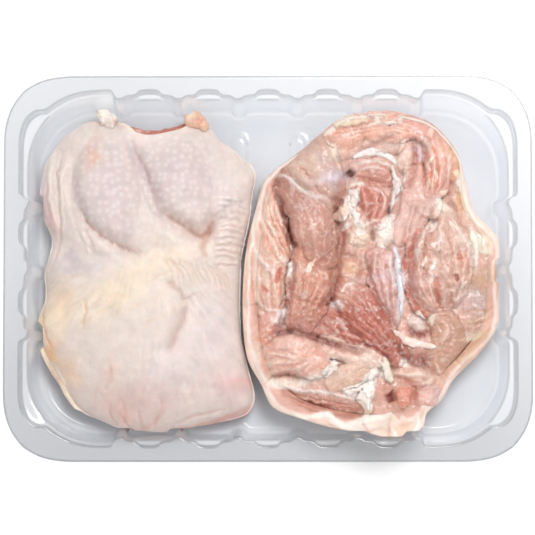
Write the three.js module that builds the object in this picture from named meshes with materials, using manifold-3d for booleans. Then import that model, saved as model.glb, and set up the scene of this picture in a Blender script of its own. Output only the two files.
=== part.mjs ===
// Meat tray pack: an open clear tray that holds two raw boned chicken legs.
// The left leg lies skin side up, the right leg is spread with its meat side up.
// Millimetres, +Z up, the tray's underside at z = 0, its long side along X.

import * as THREE from 'three';
import { mergeVertices } from 'three/addons/utils/BufferGeometryUtils.js';
import Module from 'manifold-3d';

const wasm = await Module();
wasm.setup();

// Tray sizes. An inset is measured inward from the outer edge of the rim.
const trayLength = 260;
const trayWidth = 190;
const trayHeight = 45;
const sheet = 0.6;
const rimCorner = 29;
const lipDrop = 2;
const lipRound = 0.8;
const ledgeDrop = 9;
const ledgeFall = 0.8;
const footHeight = 4;
const upperDraft = 0.9;
const longSide = { panel: 10.2, bump: 7.3, corner: 7.6, foot: 14.0, floor: 16.6 };
const shortSide = { panel: 10.7, bump: 8.0, corner: 8.0, foot: 14.4, floor: 17.0 };
const pillarStand = { top: 1.8, foot: 2.7 };
const pillarHalf = { top: 3.25, foot: 4.2, slope: 1.4 };
const longPillars = [14.65, 43.95, 73.3];
const longBumps = [0, 29.3, 58.6];
const shortPillars = [0, 32.3];
const shortBump = 16.9;
const bumpHalf = { long: 6, short: 6.5, slope: 1 };

// The corner of the wall is an arc, with a fuller lug beside the short side near the rim.
const cornerPivot = { x: 80, y: 40 };
const wallCorner = { insetX: 10, insetY: 7.6, radius: 35 };
const lowWallCorner = { insetX: 11.6, insetY: 9.2, radius: 34.5 };
const lug = { halfX: 122, halfY: 79, radius: 13, endAngle: 50 };
const footCornerRadius = 31;
const floorCornerRadius = 28;
const cornerAngles = [76, 62, 51, 49, 37, 25, 12];

// Raised ribs of the floor run across the tray, in line with the pillars.
const floorRib = { half: 4.5, topHalf: 3.2, end: 70, rise: 2, steps: 3 };

// The food stands just clear of the ribs, and every touching piece keeps a small gap.
const foodBase = 3;
const gap = 0.3;
const skinThickness = 2.2;
const skinGap = 0.35;
const wallClearance = 0.7;
const foodCornerRadius = 31;

// Plan of the left leg, clockwise from its upper left shoulder.
const leftCentre = { x: -63, y: -3 };
const leftOutline = [
  [-102.6, 68.2], [-91.2, 75.2], [-79.7, 75.7], [-68.7, 74.2], [-58.7, 72.2], [-49.8, 73.2],
  [-38.8, 76.2], [-31.3, 74.2], [-23.8, 66.2], [-14.8, 59.2], [-7.4, 49.2], [-8.6, 37.7],
  [-10.3, 24.8], [-13.6, 9.8], [-14.8, -10.2], [-14.1, -30.1], [-11.3, -46.1], [-7.8, -62.6],
  [-11.3, -70.1], [-21.3, -74.0], [-36.3, -77.6], [-53.7, -80.2], [-71.2, -78.4],
  [-84.7, -74.0], [-95.7, -66.6], [-103.6, -54.1], [-112.6, -37.6], [-114.6, -22.7],
  [-111.1, -13.2], [-111.6, 0.8], [-108.1, 14.8], [-112.6, 27.2], [-114.2, 39.7],
  [-111.6, 54.2],
];
const leftDome = { side: 10, top: 27, plan: 2.6, fall: 0.62 };
const leftSink = 5.5;

// Lobes under the left skin: centre x, centre y, half length, half width, turn, rise.
const leftLobes = [
  [-81.2, 38.1, 31, 17.5, 92, 6.0],
  [-46.4, 45.0, 28, 17.5, 108, 6.0],
  [-19.5, 24.0, 21, 9, 96, 2.5],
  [-62, -42, 34, 26, 70, 2.0],
];

// Creases of the left skin: half width, depth, then the places that they pass through.
const leftCreases = [
  { half: 3.6, deep: 5.0, path: [[-96.8, 56], [-98, 43.5], [-94.5, 31.6], [-90.1, 23.7]] },
  { half: 4.0, deep: 6.0, path: [[-90.1, 23.7], [-83, 18], [-75.4, 13.3], [-66.3, 8.8]] },
  { half: 4.0, deep: 3.0, path: [[-66.3, 8.8], [-59, 9], [-52.9, 11.3]] },
  { half: 3.6, deep: 4.5, path: [[-68.8, 66], [-64.5, 54], [-59.8, 43.5], [-52.9, 28.1]] },
  { half: 4.0, deep: 6.0, path: [[-52.9, 28.1], [-39.5, 20.2], [-31.6, 16.7], [-27.1, 25.7]] },
  { half: 5.0, deep: 1.8, path: [[-48.4, -6.6], [-40.5, -14.5], [-44, -27.9], [-48.4, -38.3]] },
  { half: 3.6, deep: 2.8, path: [[-103.5, 58.9], [-104.5, 34.1], [-101, 6.8]] },
  { half: 4.5, deep: 2.2, path: [[-101, 8], [-98, 3], [-92, -2]] },
];

// The left skin stops short of the edge where red meat shows: from angle, to angle, share.
const leftBare = [
  { from: 75, to: 88, cover: 0.67 },
  { from: 2, to: 35, cover: 0.70 },
];

// Plan of the right skin and of the meat that lies on it, both from the left shoulder.
const rightCentre = { x: 50, y: 0 };
const rightSkinOutline = [
  [-2.8, 44.7], [-6.3, 31.7], [-10.3, 15.8], [-12.4, -0.2], [-12.8, -25.1], [-10.3, -44.1],
  [-3.8, -56.1], [2.1, -67.6], [16.1, -73.5], [33.6, -78.5], [48.6, -80.6], [60.0, -83.4],
  [71.0, -82.0], [77.0, -77.0], [78.5, -71.0], [86.5, -64.1], [91.5, -55.1],
  [105.9, -40.1], [114.0, -27.6], [114.8, -7.7], [114.8, 14.8], [110.9, 20.8],
  [102.9, 29.7], [99.0, 44.7], [95.0, 58.7], [82.0, 73.2], [70.0, 77.8], [58.5, 79.6],
  [41.1, 77.8], [32.1, 73.2], [22.1, 64.4], [10.1, 56.2], [2.1, 50.4],
];
const rightMeatOutline = [
  [1.6, 45.2], [-1.6, 34.7], [-5.3, 17.3], [-7.4, -0.2], [-7.2, -20.2], [-5.0, -37.6],
  [-1.0, -50.1], [8.1, -60.1], [17.1, -66.1], [36.1, -71.6], [50.5, -73.1], [64.0, -72.1],
  [73.5, -69.1], [81.0, -62.1], [86.0, -54.1], [99.9, -39.1], [108.3, -26.1],
  [110.3, -10.2], [110.3, 11.3], [104.4, 22.8], [98.2, 33.7], [96.6, 45.7], [95.2, 57.7],
  [82.6, 73.2], [70.4, 78.4], [58.5, 80.3], [40.9, 78.4], [31.6, 73.4],
  [21.8, 64.4], [10.4, 56.0], [4.1, 50.9],
];
const rightSides = { curl: 14, level: 15, flatShare: 0.8, turn: 0.42 * Math.PI };

// Height of the right skin's free edge and of the meat's own edge: angle, skin, meat.
const rightRise = [
  [-180, 14, 12], [-150, 14, 12], [-120, 17, 14], [-100, 24, 16], [-82, 30, 18],
  [-72, 26, 17], [-60, 16, 13], [-40, 14, 12], [-20, 17, 13], [0, 19, 14], [20, 19, 14],
  [40, 15, 15], [55, 12, 18], [75, 10, 19], [105, 10, 19], [125, 11, 17], [140, 12, 15],
  [160, 14, 12], [180, 14, 12],
];

// Muscles, folds and fat that stay joined to the right meat. Each is a path of
// places: x, y, half width, height of the crest.
const rightRelief = {
  longMuscle: [[12.0, 45.6, 6.7, 24], [22.0, 24.5, 10.6, 30], [25.9, 8.9, 8.3, 28]],
  tornMuscle: [[20.9, 3.3, 9.5, 27], [20.9, -10.0, 10.0, 27], [16.4, -25.6, 6.7, 22]],
  fan: [[3.1, 37.8, 4.4, 22], [0.9, 13.3, 7.8, 23], [0.9, -12.2, 7.2, 20]],
  fanFoot: [[0.9, -21.1, 5.6, 19], [-0.2, -31.1, 4.4, 20], [0.6, -41.2, 4.4, 21]],
  cornerLobe: [[2.7, -43.4, 7.3, 25], [11.9, -41.2, 10.0, 27], [23.1, -45.6, 8.3, 25]],
  ridge: [[28.7, -36.7, 4.4, 22], [42.0, -41.2, 5.0, 24], [53.1, -45.0, 3.9, 24]],
  lowMiddle: [[33.1, -56.7, 4.4, 21], [43.1, -51.2, 6.1, 24], [50.9, -47.8, 4.4, 22]],
  bottomStrip: [[11.4, -60.2, 3.9, 17], [28.7, -65.1, 5.0, 19], [49.8, -69.2, 3.3, 19]],
  centreUpper: [[37.6, -10.0, 6.7, 24], [50.9, -24.5, 9.5, 27], [65.4, -42.3, 4.4, 22]],
  centreLower: [[28.7, -22.3, 5.0, 19], [39.8, -32.3, 6.1, 21], [55.4, -41.2, 3.9, 20]],
  centreLong: [[55.4, 6.7, 6.1, 24], [57.6, -7.8, 6.7, 25], [62.0, -24.5, 3.9, 22]],
  core: [[46.5, 40.0, 5.6, 21], [52.0, 34.5, 6.7, 22], [55.4, 25.6, 5.0, 21]],
  hood: [[44.2, 47.8, 3.3, 19], [52.0, 48.9, 5.0, 21], [59.8, 45.6, 3.3, 20]],
  paleTop: [[46.5, 60.6, 3.3, 20], [55.4, 63.4, 5.0, 22], [63.2, 63.9, 3.9, 22]],
  topBand: [[42.0, 72.3, 4.4, 22], [57.6, 70.0, 5.6, 25], [72.0, 70.6, 5.6, 26]],
  topCorner: [[73.2, 71.3, 5.6, 25], [78.7, 69.0, 5.6, 26], [80.9, 65.6, 4.4, 24]],
  topLeft: [[33.1, 67.8, 5.0, 22], [38.7, 66.2, 6.7, 24], [39.8, 61.1, 5.6, 22]],
  column: [[73.2, 47.8, 5.6, 24], [74.3, 36.7, 6.7, 24], [67.6, 17.8, 5.0, 21]],
  cross: [[74.3, 35.6, 5.6, 24], [80.9, 33.3, 6.1, 25]],
  ragged: [[84.3, 63.4, 5.0, 25], [84.8, 52.3, 6.1, 27], [82.6, 41.1, 5.6, 26]],
  topRightEdge: [[85.4, 65.7, 4.4, 20], [91.7, 56.8, 5.0, 20], [92.3, 48.9, 4.4, 20]],
  rightFat: [[96.7, 43.4, 4.4, 17], [98.0, 35.6, 5.0, 17], [103.5, 20.2, 5.0, 17]],
  rightPlate: [[105.9, 13.3, 5.5, 17], [106.0, -6.7, 6.2, 17.5], [102.5, -22.3, 6.2, 17]],
  rightLow: [[87.6, -25.6, 6.7, 22], [90.0, -34.5, 8.3, 22], [84.6, -44.6, 6.1, 20]],
  rightLowEdge: [[104.9, -30.1, 4.6, 15], [96.8, -38.2, 4.6, 15], [87.0, -48.1, 4.4, 16]],
  lowPlate: [[68.7, -38.9, 4.4, 17], [75.4, -43.4, 6.7, 18], [80.1, -46.7, 4.4, 18]],
  lowKnobs: [[68.7, -51.2, 4.4, 20], [75.4, -52.8, 5.6, 22], [80.1, -54.5, 4.4, 20]],
  lowBed: [[56.5, -60.1, 6.7, 20], [66.7, -63.5, 7.0, 20], [76.1, -60.4, 5.6, 19]],
  lobeRim: [[73.2, 17.8, 4.4, 23], [72.0, 0.0, 5.0, 24], [78.7, -18.9, 5.0, 23]],
  fatDrip: [[48.1, -61.9, 3.0, 23], [49.0, -65.6, 2.7, 22], [49.8, -69.5, 2.0, 22]],
  fatNub: [[35.9, 26.1, 2.2, 26], [37.4, 29.1, 2.2, 26], [38.7, 32.2, 2.0, 25]],
  fatTop: [[34.2, 73.3, 1.3, 24], [39.8, 75.4, 1.8, 25], [47.6, 75.0, 2.0, 25]],
  greyStrand: [[62.0, 52.3, 1.1, 23], [64.4, 43.4, 1.8, 24], [60.9, 31.1, 1.1, 23]],
  fatPoint: [[57.0, -45.0, 1.6, 25], [58.7, -48.4, 2.4, 24], [60.9, -52.4, 2.6, 23]],
  edgeFat: [[107.0, 17.8, 1.6, 19], [107.4, 12.8, 1.9, 20], [107.4, 7.8, 1.7, 19]],
};
const crestDrop = 0.6;

// Lobes, knobs, tendons and fat of the right leg that lie on it as pieces of their own.
// Each is a path of places too: x, y, half width, height of the crest.
const rightPieces = {
  upper_slab: {
    tint: 0xdfb3a0,
    path: [
      [23.6, 67.0, 4.6, 26], [24.3, 61.5, 8.8, 29], [26.2, 51.1, 10.6, 31], [29.6, 42.5, 8.6, 30],
      [32.0, 37.0, 5.0, 28],
    ],
  },
  thick_lobe: {
    tint: 0xd9a08c,
    path: [
      [88.0, 31.5, 5.5, 29], [88.2, 23.5, 10.0, 33], [87.6, 7.8, 12.8, 35], [86.2, -7.5, 10.8, 33],
      [85.0, -15.0, 6.5, 29],
    ],
  },
  finger_lobe: {
    tint: 0xf0dcc4,
    path: [
      [72.0, 65.6, 4.2, 29], [68.7, 57.8, 4.7, 29], [67.8, 52.3, 4.2, 27],
    ],
  },
  top_curl: {
    tint: 0xe9bfae,
    path: [
      [58.7, 73.9, 2.4, 27], [62.0, 77.6, 2.7, 28], [65.9, 75.0, 2.2, 27],
    ],
  },
  low_knob_a: {
    tint: 0xe3b9a4,
    path: [
      [66.5, -59.5, 5.1, 24], [66.7, -62.3, 5.6, 24.5], [67.0, -65.1, 5.1, 24],
    ],
  },
  low_knob_b: {
    tint: 0xdda890,
    path: [
      [76.7, -62.6, 4.4, 22], [78.8, -60.6, 4.8, 23], [80.6, -58.1, 4.4, 23],
    ],
  },
  cartilage_a: {
    tint: 0xf1e2c9,
    path: [
      [44.2, 18.9, 4.7, 24], [45.4, 17.2, 5.3, 24], [46.5, 15.6, 4.7, 23],
    ],
  },
  cartilage_b: {
    tint: 0xf3e6d2,
    path: [
      [59.3, 26.7, 3.6, 24], [58.7, 21.1, 4.4, 25], [58.1, 16.7, 4.7, 24],
    ],
  },
  cartilage_c: {
    tint: 0xf1e4d4,
    path: [
      [73.7, -22.8, 3.8, 25], [74.3, -25.6, 4.4, 26], [74.8, -28.4, 4.2, 25],
    ],
  },
  long_tendon: {
    tint: 0xe4e2e2,
    path: [
      [62.6, 12.2, 1.6, 26], [65.4, -1.1, 1.9, 27], [65.9, -22.3, 1.3, 25],
    ],
  },
  middle_flap: {
    tint: 0xf0e0cd,
    path: [
      [63.7, -30.6, 2.0, 23], [72.0, -34.5, 2.7, 23], [83.7, -36.7, 2.2, 23],
    ],
  },
  fat_lump_a: {
    tint: 0xf6ecdd,
    path: [
      [25.9, -52.8, 2.2, 26], [30.9, -48.4, 3.1, 28], [33.7, -43.9, 2.4, 27],
    ],
  },
  fat_lump_b: {
    tint: 0xf3e4cc,
    path: [
      [36.5, -60.6, 2.2, 22], [46.5, -57.9, 3.8, 24], [52.6, -50.6, 3.3, 25],
    ],
  },
  fat_centre: {
    tint: 0xf3e3c0,
    path: [
      [43.7, 37.8, 2.0, 24], [45.4, 31.0, 2.9, 25], [44.8, 25.2, 1.6, 25],
    ],
  },
  white_arc: {
    tint: 0xeee6df,
    path: [
      [42.2, 56.6, 1.8, 24], [53.5, 59.4, 2.4, 25], [64.0, 54.5, 1.8, 24],
    ],
  },
  edge_fat_a: {
    tint: 0xf0dcc0,
    path: [
      [102.4, 17.8, 1.6, 20], [103.1, 12.2, 1.8, 21], [103.3, 6.7, 1.6, 20],
    ],
  },
};

// Fat tips that stand up at the far edge of the left leg.
const leftPieces = {
  fat_tip: {
    tint: 0xf0dc9c,
    path: [
      [-81.0, 70.5, 4.6, 22], [-80.6, 75.6, 4.2, 28], [-79.6, 79.8, 2.8, 33],
    ],
  },
  orange_tip: {
    tint: 0xecbc84,
    path: [
      [-37.8, 70.0, 4.6, 21], [-37.0, 74.5, 4.0, 25], [-36.6, 78.0, 2.6, 28],
    ],
  },
};
const pieceRound = 0.85;
const pieceDepth = 3;
const pieceFloor = 9;
const capReach = 0.7;

// Grids of the food solids: places round the outline and rings from centre to edge.
const stationsRound = 56;
const leftRings = [0.62, 0.74, 0.84, 0.92, 1];
const bedRings = [0.985, 0.94];
const netSpacing = { left: 6.0, leftInner: 13, right: 5.0 };
const netMargin = 0.62;

const halfLength = trayLength / 2;
const halfWidth = trayWidth / 2;
const degree = Math.PI / 180;

// A named mesh with its own material.
function piece(name, geometry, colour, settings = {}) {
  const material = new THREE.MeshStandardMaterial({ color: colour, roughness: 0.45, ...settings });
  material.name = name + '_colour';
  const mesh = new THREE.Mesh(geometry, material);
  mesh.name = name;
  return mesh;
}

function geometryOf(points, faces) {
  const geometry = new THREE.BufferGeometry();
  geometry.setAttribute('position', new THREE.Float32BufferAttribute(points.flat(), 3));
  geometry.setIndex(faces.flat());
  return mergeVertices(geometry, 1e-4);
}

// The enclosed volume, whose sign tells which way the faces look.
function volumeOf(points, faces) {
  let total = 0;
  for (const [a, b, c] of faces) {
    const [ax, ay, az] = points[a];
    const [bx, by, bz] = points[b];
    const [cx, cy, cz] = points[c];
    total += ax * (by * cz - bz * cy) + ay * (bz * cx - bx * cz) + az * (bx * cy - by * cx);
  }
  return total / 6;
}

function toManifold(points, faces) {
  const outward = volumeOf(points, faces) > 0;
  const turned = outward ? faces : faces.map(([a, b, c]) => [a, c, b]);
  const merged = geometryOf(points, turned);
  return new wasm.Manifold(new wasm.Mesh({
    numProp: 3,
    vertProperties: new Float32Array(merged.attributes.position.array),
    triVerts: new Uint32Array(merged.index.array),
  }));
}

function fromManifold(solid) {
  const mesh = solid.getMesh();
  const stride = mesh.numProp;
  const points = [];
  for (let at = 0; at < mesh.vertProperties.length; at += stride) {
    points.push(Array.from(mesh.vertProperties.slice(at, at + 3)));
  }
  const faces = [];
  for (let at = 0; at < mesh.triVerts.length; at += 3) {
    faces.push(Array.from(mesh.triVerts.slice(at, at + 3)));
  }
  return geometryOf(points, faces);
}

function blend(from, to, share) {
  return from + (to - from) * share;
}

function smoothShare(value, from, to) {
  const share = Math.min(Math.max((value - from) / (to - from), 0), 1);
  return share * share * (3 - 2 * share);
}

// Where a ray from the corner pivot meets a rounded rectangle.
function cornerPlace(angle, halfX, halfY, radius) {
  const stepX = Math.cos(angle * degree);
  const stepY = Math.sin(angle * degree);
  const toX = stepX > 1e-9 ? (halfX - cornerPivot.x) / stepX : Infinity;
  const toY = stepY > 1e-9 ? (halfY - cornerPivot.y) / stepY : Infinity;
  let reach = Math.min(toX, toY);
  const offX = cornerPivot.x - (halfX - radius);
  const offY = cornerPivot.y - (halfY - radius);
  const inArcX = offX + stepX * reach > 0;
  const inArcY = offY + stepY * reach > 0;
  if (inArcX && inArcY) {
    const along = offX * stepX + offY * stepY;
    const across = offX * offX + offY * offY - radius * radius;
    reach = -along + Math.sqrt(along * along - across);
  }
  return [cornerPivot.x + stepX * reach, cornerPivot.y + stepY * reach];
}

// Stations of one quarter of the tray, from the middle of a long side to that of a short side.
function quarterStations() {
  const list = [];
  const pillar = (onLong, centre, outer) => {
    for (const [side, face] of [[-1, 0], [-1, 1], [1, 1], [1, 0]]) {
      const kind = face ? 'pillar' : (side > 0 && outer ? 'corner' : 'panel');
      list.push({ onLong, centre, side, face, kind, isPillar: true });
    }
  };
  const bump = (onLong, centre) => {
    for (const [side, face] of [[-1, 0], [-1, 1], [1, 1], [1, 0]]) {
      list.push({ onLong, centre, side, face, kind: face ? 'bump' : 'panel' });
    }
  };
  bump(true, longBumps[0]);
  list.splice(0, 2);
  for (let index = 0; index < longPillars.length; index += 1) {
    pillar(true, longPillars[index], index === longPillars.length - 1);
    if (index + 1 < longBumps.length) bump(true, longBumps[index + 1]);
  }
  list.push({ angle: 90, kind: 'corner' });
  for (const angle of cornerAngles) list.push({ angle, kind: 'corner' });
  list.push({ angle: 0, kind: 'corner' });
  const shortFirst = list.length;
  pillar(false, shortPillars[0], false);
  list.splice(shortFirst, 2);
  bump(false, shortBump);
  pillar(false, shortPillars[1], true);
  const shortPart = list.splice(shortFirst).reverse();
  return list.concat(shortPart);
}

// Place of a station on one level of the wall, with the sheet's shift outward.
function stationPlace(station, level, shift) {
  if (station.angle !== undefined) {
    const shape = level.corner(station.angle);
    return cornerPlace(station.angle, shape.x + shift, shape.y + shift, shape.radius + shift);
  }
  const side = station.onLong ? longSide : shortSide;
  const half = station.isPillar
    ? blend(pillarHalf.top, pillarHalf.foot, level.depth) - station.face * pillarHalf.slope
    : (station.onLong ? bumpHalf.long : bumpHalf.short) - station.face * bumpHalf.slope;
  const along = station.centre + station.side * half;
  const inset = level.inset(side, station.kind) - shift;
  if (station.onLong) return [along, halfWidth - inset];
  return [halfLength - inset, along];
}

function plainCorner(insetX, insetY, radius) {
  return () => ({ x: halfLength - insetX, y: halfWidth - insetY, radius });
}

// Levels of the tray wall from the lip of the rim down to the edge of the floor.
const wallLevels = [
  {
    z: trayHeight - lipDrop, depth: 0, shift: -sheet, drop: 0,
    inset: () => 0,
    corner: plainCorner(0, 0, rimCorner),
  },
  {
    z: trayHeight, depth: 0, shift: -sheet, drop: sheet,
    inset: () => lipRound,
    corner: plainCorner(lipRound, lipRound, rimCorner - lipRound),
  },
  {
    z: trayHeight, depth: 0, shift: sheet, drop: sheet,
    inset: (side, kind) => (kind === 'pillar' ? side.panel + pillarStand.top : side[kind]),
    corner: (angle) => (angle < lug.endAngle
      ? { x: lug.halfX, y: lug.halfY, radius: lug.radius }
      : plainCorner(wallCorner.insetX, wallCorner.insetY, wallCorner.radius)()),
  },
  {
    z: trayHeight - ledgeDrop, depth: 0.2, shift: sheet, drop: sheet,
    inset: (side, kind) => upperDraft
      + (kind === 'pillar' ? side.panel + pillarStand.top : side[kind]),
    corner: (angle) => (angle < lug.endAngle
      ? { x: lug.halfX - upperDraft, y: lug.halfY - upperDraft, radius: lug.radius - 0.4 }
      : plainCorner(
        wallCorner.insetX + upperDraft, wallCorner.insetY + upperDraft, wallCorner.radius - 0.4,
      )()),
  },
  {
    z: trayHeight - ledgeDrop - ledgeFall, depth: 0.22, shift: sheet, drop: sheet,
    inset: (side, kind) => {
      if (kind === 'pillar') return side.panel + 1 + pillarStand.top;
      return kind === 'corner' && side === longSide ? lowWallCorner.insetY : side.panel + 1;
    },
    corner: plainCorner(lowWallCorner.insetX, lowWallCorner.insetY, lowWallCorner.radius),
  },
  {
    z: footHeight, depth: 1, shift: sheet, drop: 0.2,
    inset: (side, kind) => side.foot + (kind === 'pillar' ? pillarStand.foot : 0),
    corner: plainCorner(shortSide.foot, longSide.foot, footCornerRadius),
  },
  {
    z: sheet, depth: 1, shift: 0.25, drop: sheet,
    inset: (side, kind) => side.floor + (kind === 'pillar' ? pillarStand.foot : 0),
    corner: plainCorner(shortSide.floor, longSide.floor, floorCornerRadius),
  },
];

// One closed ring of the wall, clockwise when seen from above.
function wallRing(level, under) {
  const quarter = quarterStations().map(
    (station) => stationPlace(station, level, under ? level.shift : 0),
  );
  const z = under ? level.z - level.drop : level.z;
  const turn = (signX, signY, reversed) => {
    const part = quarter.map(([x, y]) => [signX * x, signY * y, z]);
    return reversed ? part.reverse() : part;
  };
  return [
    ...turn(1, 1, false), ...turn(1, -1, true), ...turn(-1, -1, false), ...turn(-1, 1, true),
  ];
}

// Outline of one floor rib, anticlockwise, with rounded ends.
function ribOutline(centre, half, end) {
  const outline = [];
  for (const way of [1, -1]) {
    for (let step = 0; step <= floorRib.steps; step += 1) {
      const angle = (step / floorRib.steps) * Math.PI + (way > 0 ? 0 : Math.PI);
      const x = centre + half * Math.cos(angle);
      const y = way * (end - half) + half * Math.sin(angle);
      outline.push([x, y]);
    }
  }
  return outline;
}

// The floor with its raised ribs, on the inside or on the underside of the tray.
function floorSheet(points, faces, edgeRing, z, ribs, under) {
  const contour = edgeRing.map(([x, y]) => new THREE.Vector2(x, y)).reverse();
  const holes = ribs.map((rib) => rib.base.map(([x, y]) => new THREE.Vector2(x, y)).reverse());
  const start = points.length;
  for (const place of [contour, ...holes].flat()) points.push([place.x, place.y, z]);
  const addFace = (a, b, c) => faces.push(under ? [a, c, b] : [a, b, c]);
  for (const [a, b, c] of THREE.ShapeUtils.triangulateShape(contour, holes)) {
    const [pa, pb, pc] = [points[start + a], points[start + b], points[start + c]];
    const area = (pb[0] - pa[0]) * (pc[1] - pa[1]) - (pb[1] - pa[1]) * (pc[0] - pa[0]);
    if (area > 0) addFace(start + a, start + b, start + c);
    else addFace(start + a, start + c, start + b);
  }
  for (const rib of ribs) {
    const count = rib.base.length;
    const low = points.length;
    for (const [x, y] of rib.base) points.push([x, y, z]);
    const high = points.length;
    for (const [x, y] of rib.crest) points.push([x, y, z + floorRib.rise]);
    for (let at = 0; at < count; at += 1) {
      const next = (at + 1) % count;
      addFace(low + at, low + next, high + next);
      addFace(low + at, high + next, high + at);
      if (at > 0 && at + 1 < count) addFace(high, high + at, high + at + 1);
    }
  }
}

function trayRibs(narrower) {
  const ribs = [];
  for (const centre of longPillars.flatMap((place) => [place, -place])) {
    ribs.push({
      base: ribOutline(centre, floorRib.half - narrower, floorRib.end - narrower),
      crest: ribOutline(centre, floorRib.topHalf - narrower, floorRib.end - 1.3 - narrower),
    });
  }
  return ribs;
}

function traySolid() {
  const points = [];
  const faces = [];
  const rings = [
    ...wallLevels.map((level) => wallRing(level, true)).reverse(),
    ...wallLevels.map((level) => wallRing(level, false)),
  ];
  const count = rings[0].length;
  for (const ring of rings) points.push(...ring);
  for (let band = 0; band + 1 < rings.length; band += 1) {
    for (let at = 0; at < count; at += 1) {
      const next = (at + 1) % count;
      const a = band * count + at;
      const b = band * count + next;
      const c = (band + 1) * count + next;
      const d = (band + 1) * count + at;
      faces.push([a, d, c], [a, c, b]);
    }
  }
  floorSheet(points, faces, rings[rings.length - 1], sheet, trayRibs(0), false);
  floorSheet(points, faces, rings[0], 0, trayRibs(0.5), true);
  return toManifold(points, faces);
}

// Inner face of the wall at a height, on a long or a short side.
function wallInset(side, z) {
  const ledgeZ = trayHeight - ledgeDrop - ledgeFall;
  if (z < footHeight) {
    return blend(side.floor, side.foot, (z - sheet) / (footHeight - sheet));
  }
  if (z < ledgeZ) {
    return blend(side.foot, side.panel + 1, (z - footHeight) / (ledgeZ - footHeight));
  }
  return blend(side.panel + 1, side.panel, (z - ledgeZ) / (trayHeight - ledgeZ));
}

function pillarStandAt(centres, along, z) {
  let stand = 0;
  for (const centre of centres) {
    const off = Math.abs(Math.abs(along) - centre);
    const reach = blend(pillarStand.foot, pillarStand.top, z / trayHeight) + 0.3;
    stand = Math.max(stand, reach * (1 - smoothShare(off, 4.6, 7.6)));
  }
  return stand;
}

// Keeps a place of the food inside the wall at its height.
function insideTray([x, y, z]) {
  const alongX = Math.sign(x) || 1;
  const alongY = Math.sign(y) || 1;
  const limitX = halfLength - wallInset(shortSide, z) - wallClearance
    - pillarStandAt(shortPillars, y, z);
  const limitY = halfWidth - wallInset(longSide, z) - wallClearance
    - pillarStandAt(longPillars, x, z);
  let px = Math.min(Math.abs(x), limitX);
  let py = Math.min(Math.abs(y), limitY);
  const radius = foodCornerRadius;
  const centreX = halfLength - wallInset(shortSide, z) - wallClearance - radius;
  const centreY = halfWidth - wallInset(longSide, z) - wallClearance - radius;
  if (px > centreX && py > centreY) {
    const reach = Math.hypot(px - centreX, py - centreY);
    if (reach > radius) {
      px = centreX + ((px - centreX) * radius) / reach;
      py = centreY + ((py - centreY) * radius) / reach;
    }
  }
  return [alongX * px, alongY * py, z];
}

// Radius of a smooth closed outline at an angle from its centre.
function outlineRadius(outline, centre) {
  const knots = outline.map(([x, y]) => new THREE.Vector3(x, y, 0));
  const curve = new THREE.CatmullRomCurve3(knots, true, 'centripetal');
  const table = [];
  for (let at = 0; at < 720; at += 1) {
    const place = curve.getPoint(at / 720);
    const reach = Math.hypot(place.x - centre.x, place.y - centre.y);
    table.push([Math.atan2(place.y - centre.y, place.x - centre.x), reach]);
  }
  table.sort((one, two) => one[0] - two[0]);
  const first = table[0];
  const last = table[table.length - 1];
  table.unshift([last[0] - 2 * Math.PI, last[1]]);
  table.push([first[0] + 2 * Math.PI, first[1]]);
  return (angle) => {
    const turned = Math.atan2(Math.sin(angle), Math.cos(angle));
    let low = 0;
    let high = table.length - 1;
    while (high - low > 1) {
      const middle = (low + high) >> 1;
      if (table[middle][0] > turned) high = middle;
      else low = middle;
    }
    const span = table[high][0] - table[low][0];
    const share = span > 1e-9 ? (turned - table[low][0]) / span : 0;
    return blend(table[low][1], table[high][1], share);
  };
}

// A path through places, cut into short straight runs that carry all their values.
function smoothPath(places, runs = 12) {
  if (places.length < 3) {
    const samples = [];
    for (let at = 0; at <= runs; at += 1) {
      samples.push(places[0].map((value, item) => blend(value, places[1][item], at / runs)));
    }
    return samples;
  }
  const plan = new THREE.CatmullRomCurve3(
    places.map((place) => new THREE.Vector3(place[0], place[1], 0)),
  );
  const extra = new THREE.CatmullRomCurve3(
    places.map((place) => new THREE.Vector3(place[2] ?? 0, place[3] ?? 0, 0)),
  );
  const samples = [];
  for (let at = 0; at <= runs; at += 1) {
    const one = plan.getPoint(at / runs);
    const two = extra.getPoint(at / runs);
    samples.push([one.x, one.y, two.x, two.y]);
  }
  return samples;
}

// Nearest place of a path: distance, then the path's two carried values there.
function nearest(samples, x, y) {
  let best = Infinity;
  let first = 0;
  let second = 0;
  for (let at = 0; at + 1 < samples.length; at += 1) {
    const [ax, ay, ar, az] = samples[at];
    const [bx, by, br, bz] = samples[at + 1];
    const dx = bx - ax;
    const dy = by - ay;
    const share = Math.min(Math.max(((x - ax) * dx + (y - ay) * dy) / (dx * dx + dy * dy), 0), 1);
    const off = Math.hypot(x - ax - dx * share, y - ay - dy * share);
    if (off < best) {
      best = off;
      first = blend(ar, br, share);
      second = blend(az, bz, share);
    }
  }
  return [best, first, second];
}

// Shape of the left leg's upper side.
const leftRadius = outlineRadius(leftOutline, leftCentre);
const leftCreasePaths = leftCreases.map(({ half, deep, path }) => ({
  half, deep, samples: smoothPath(path),
}));

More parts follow.
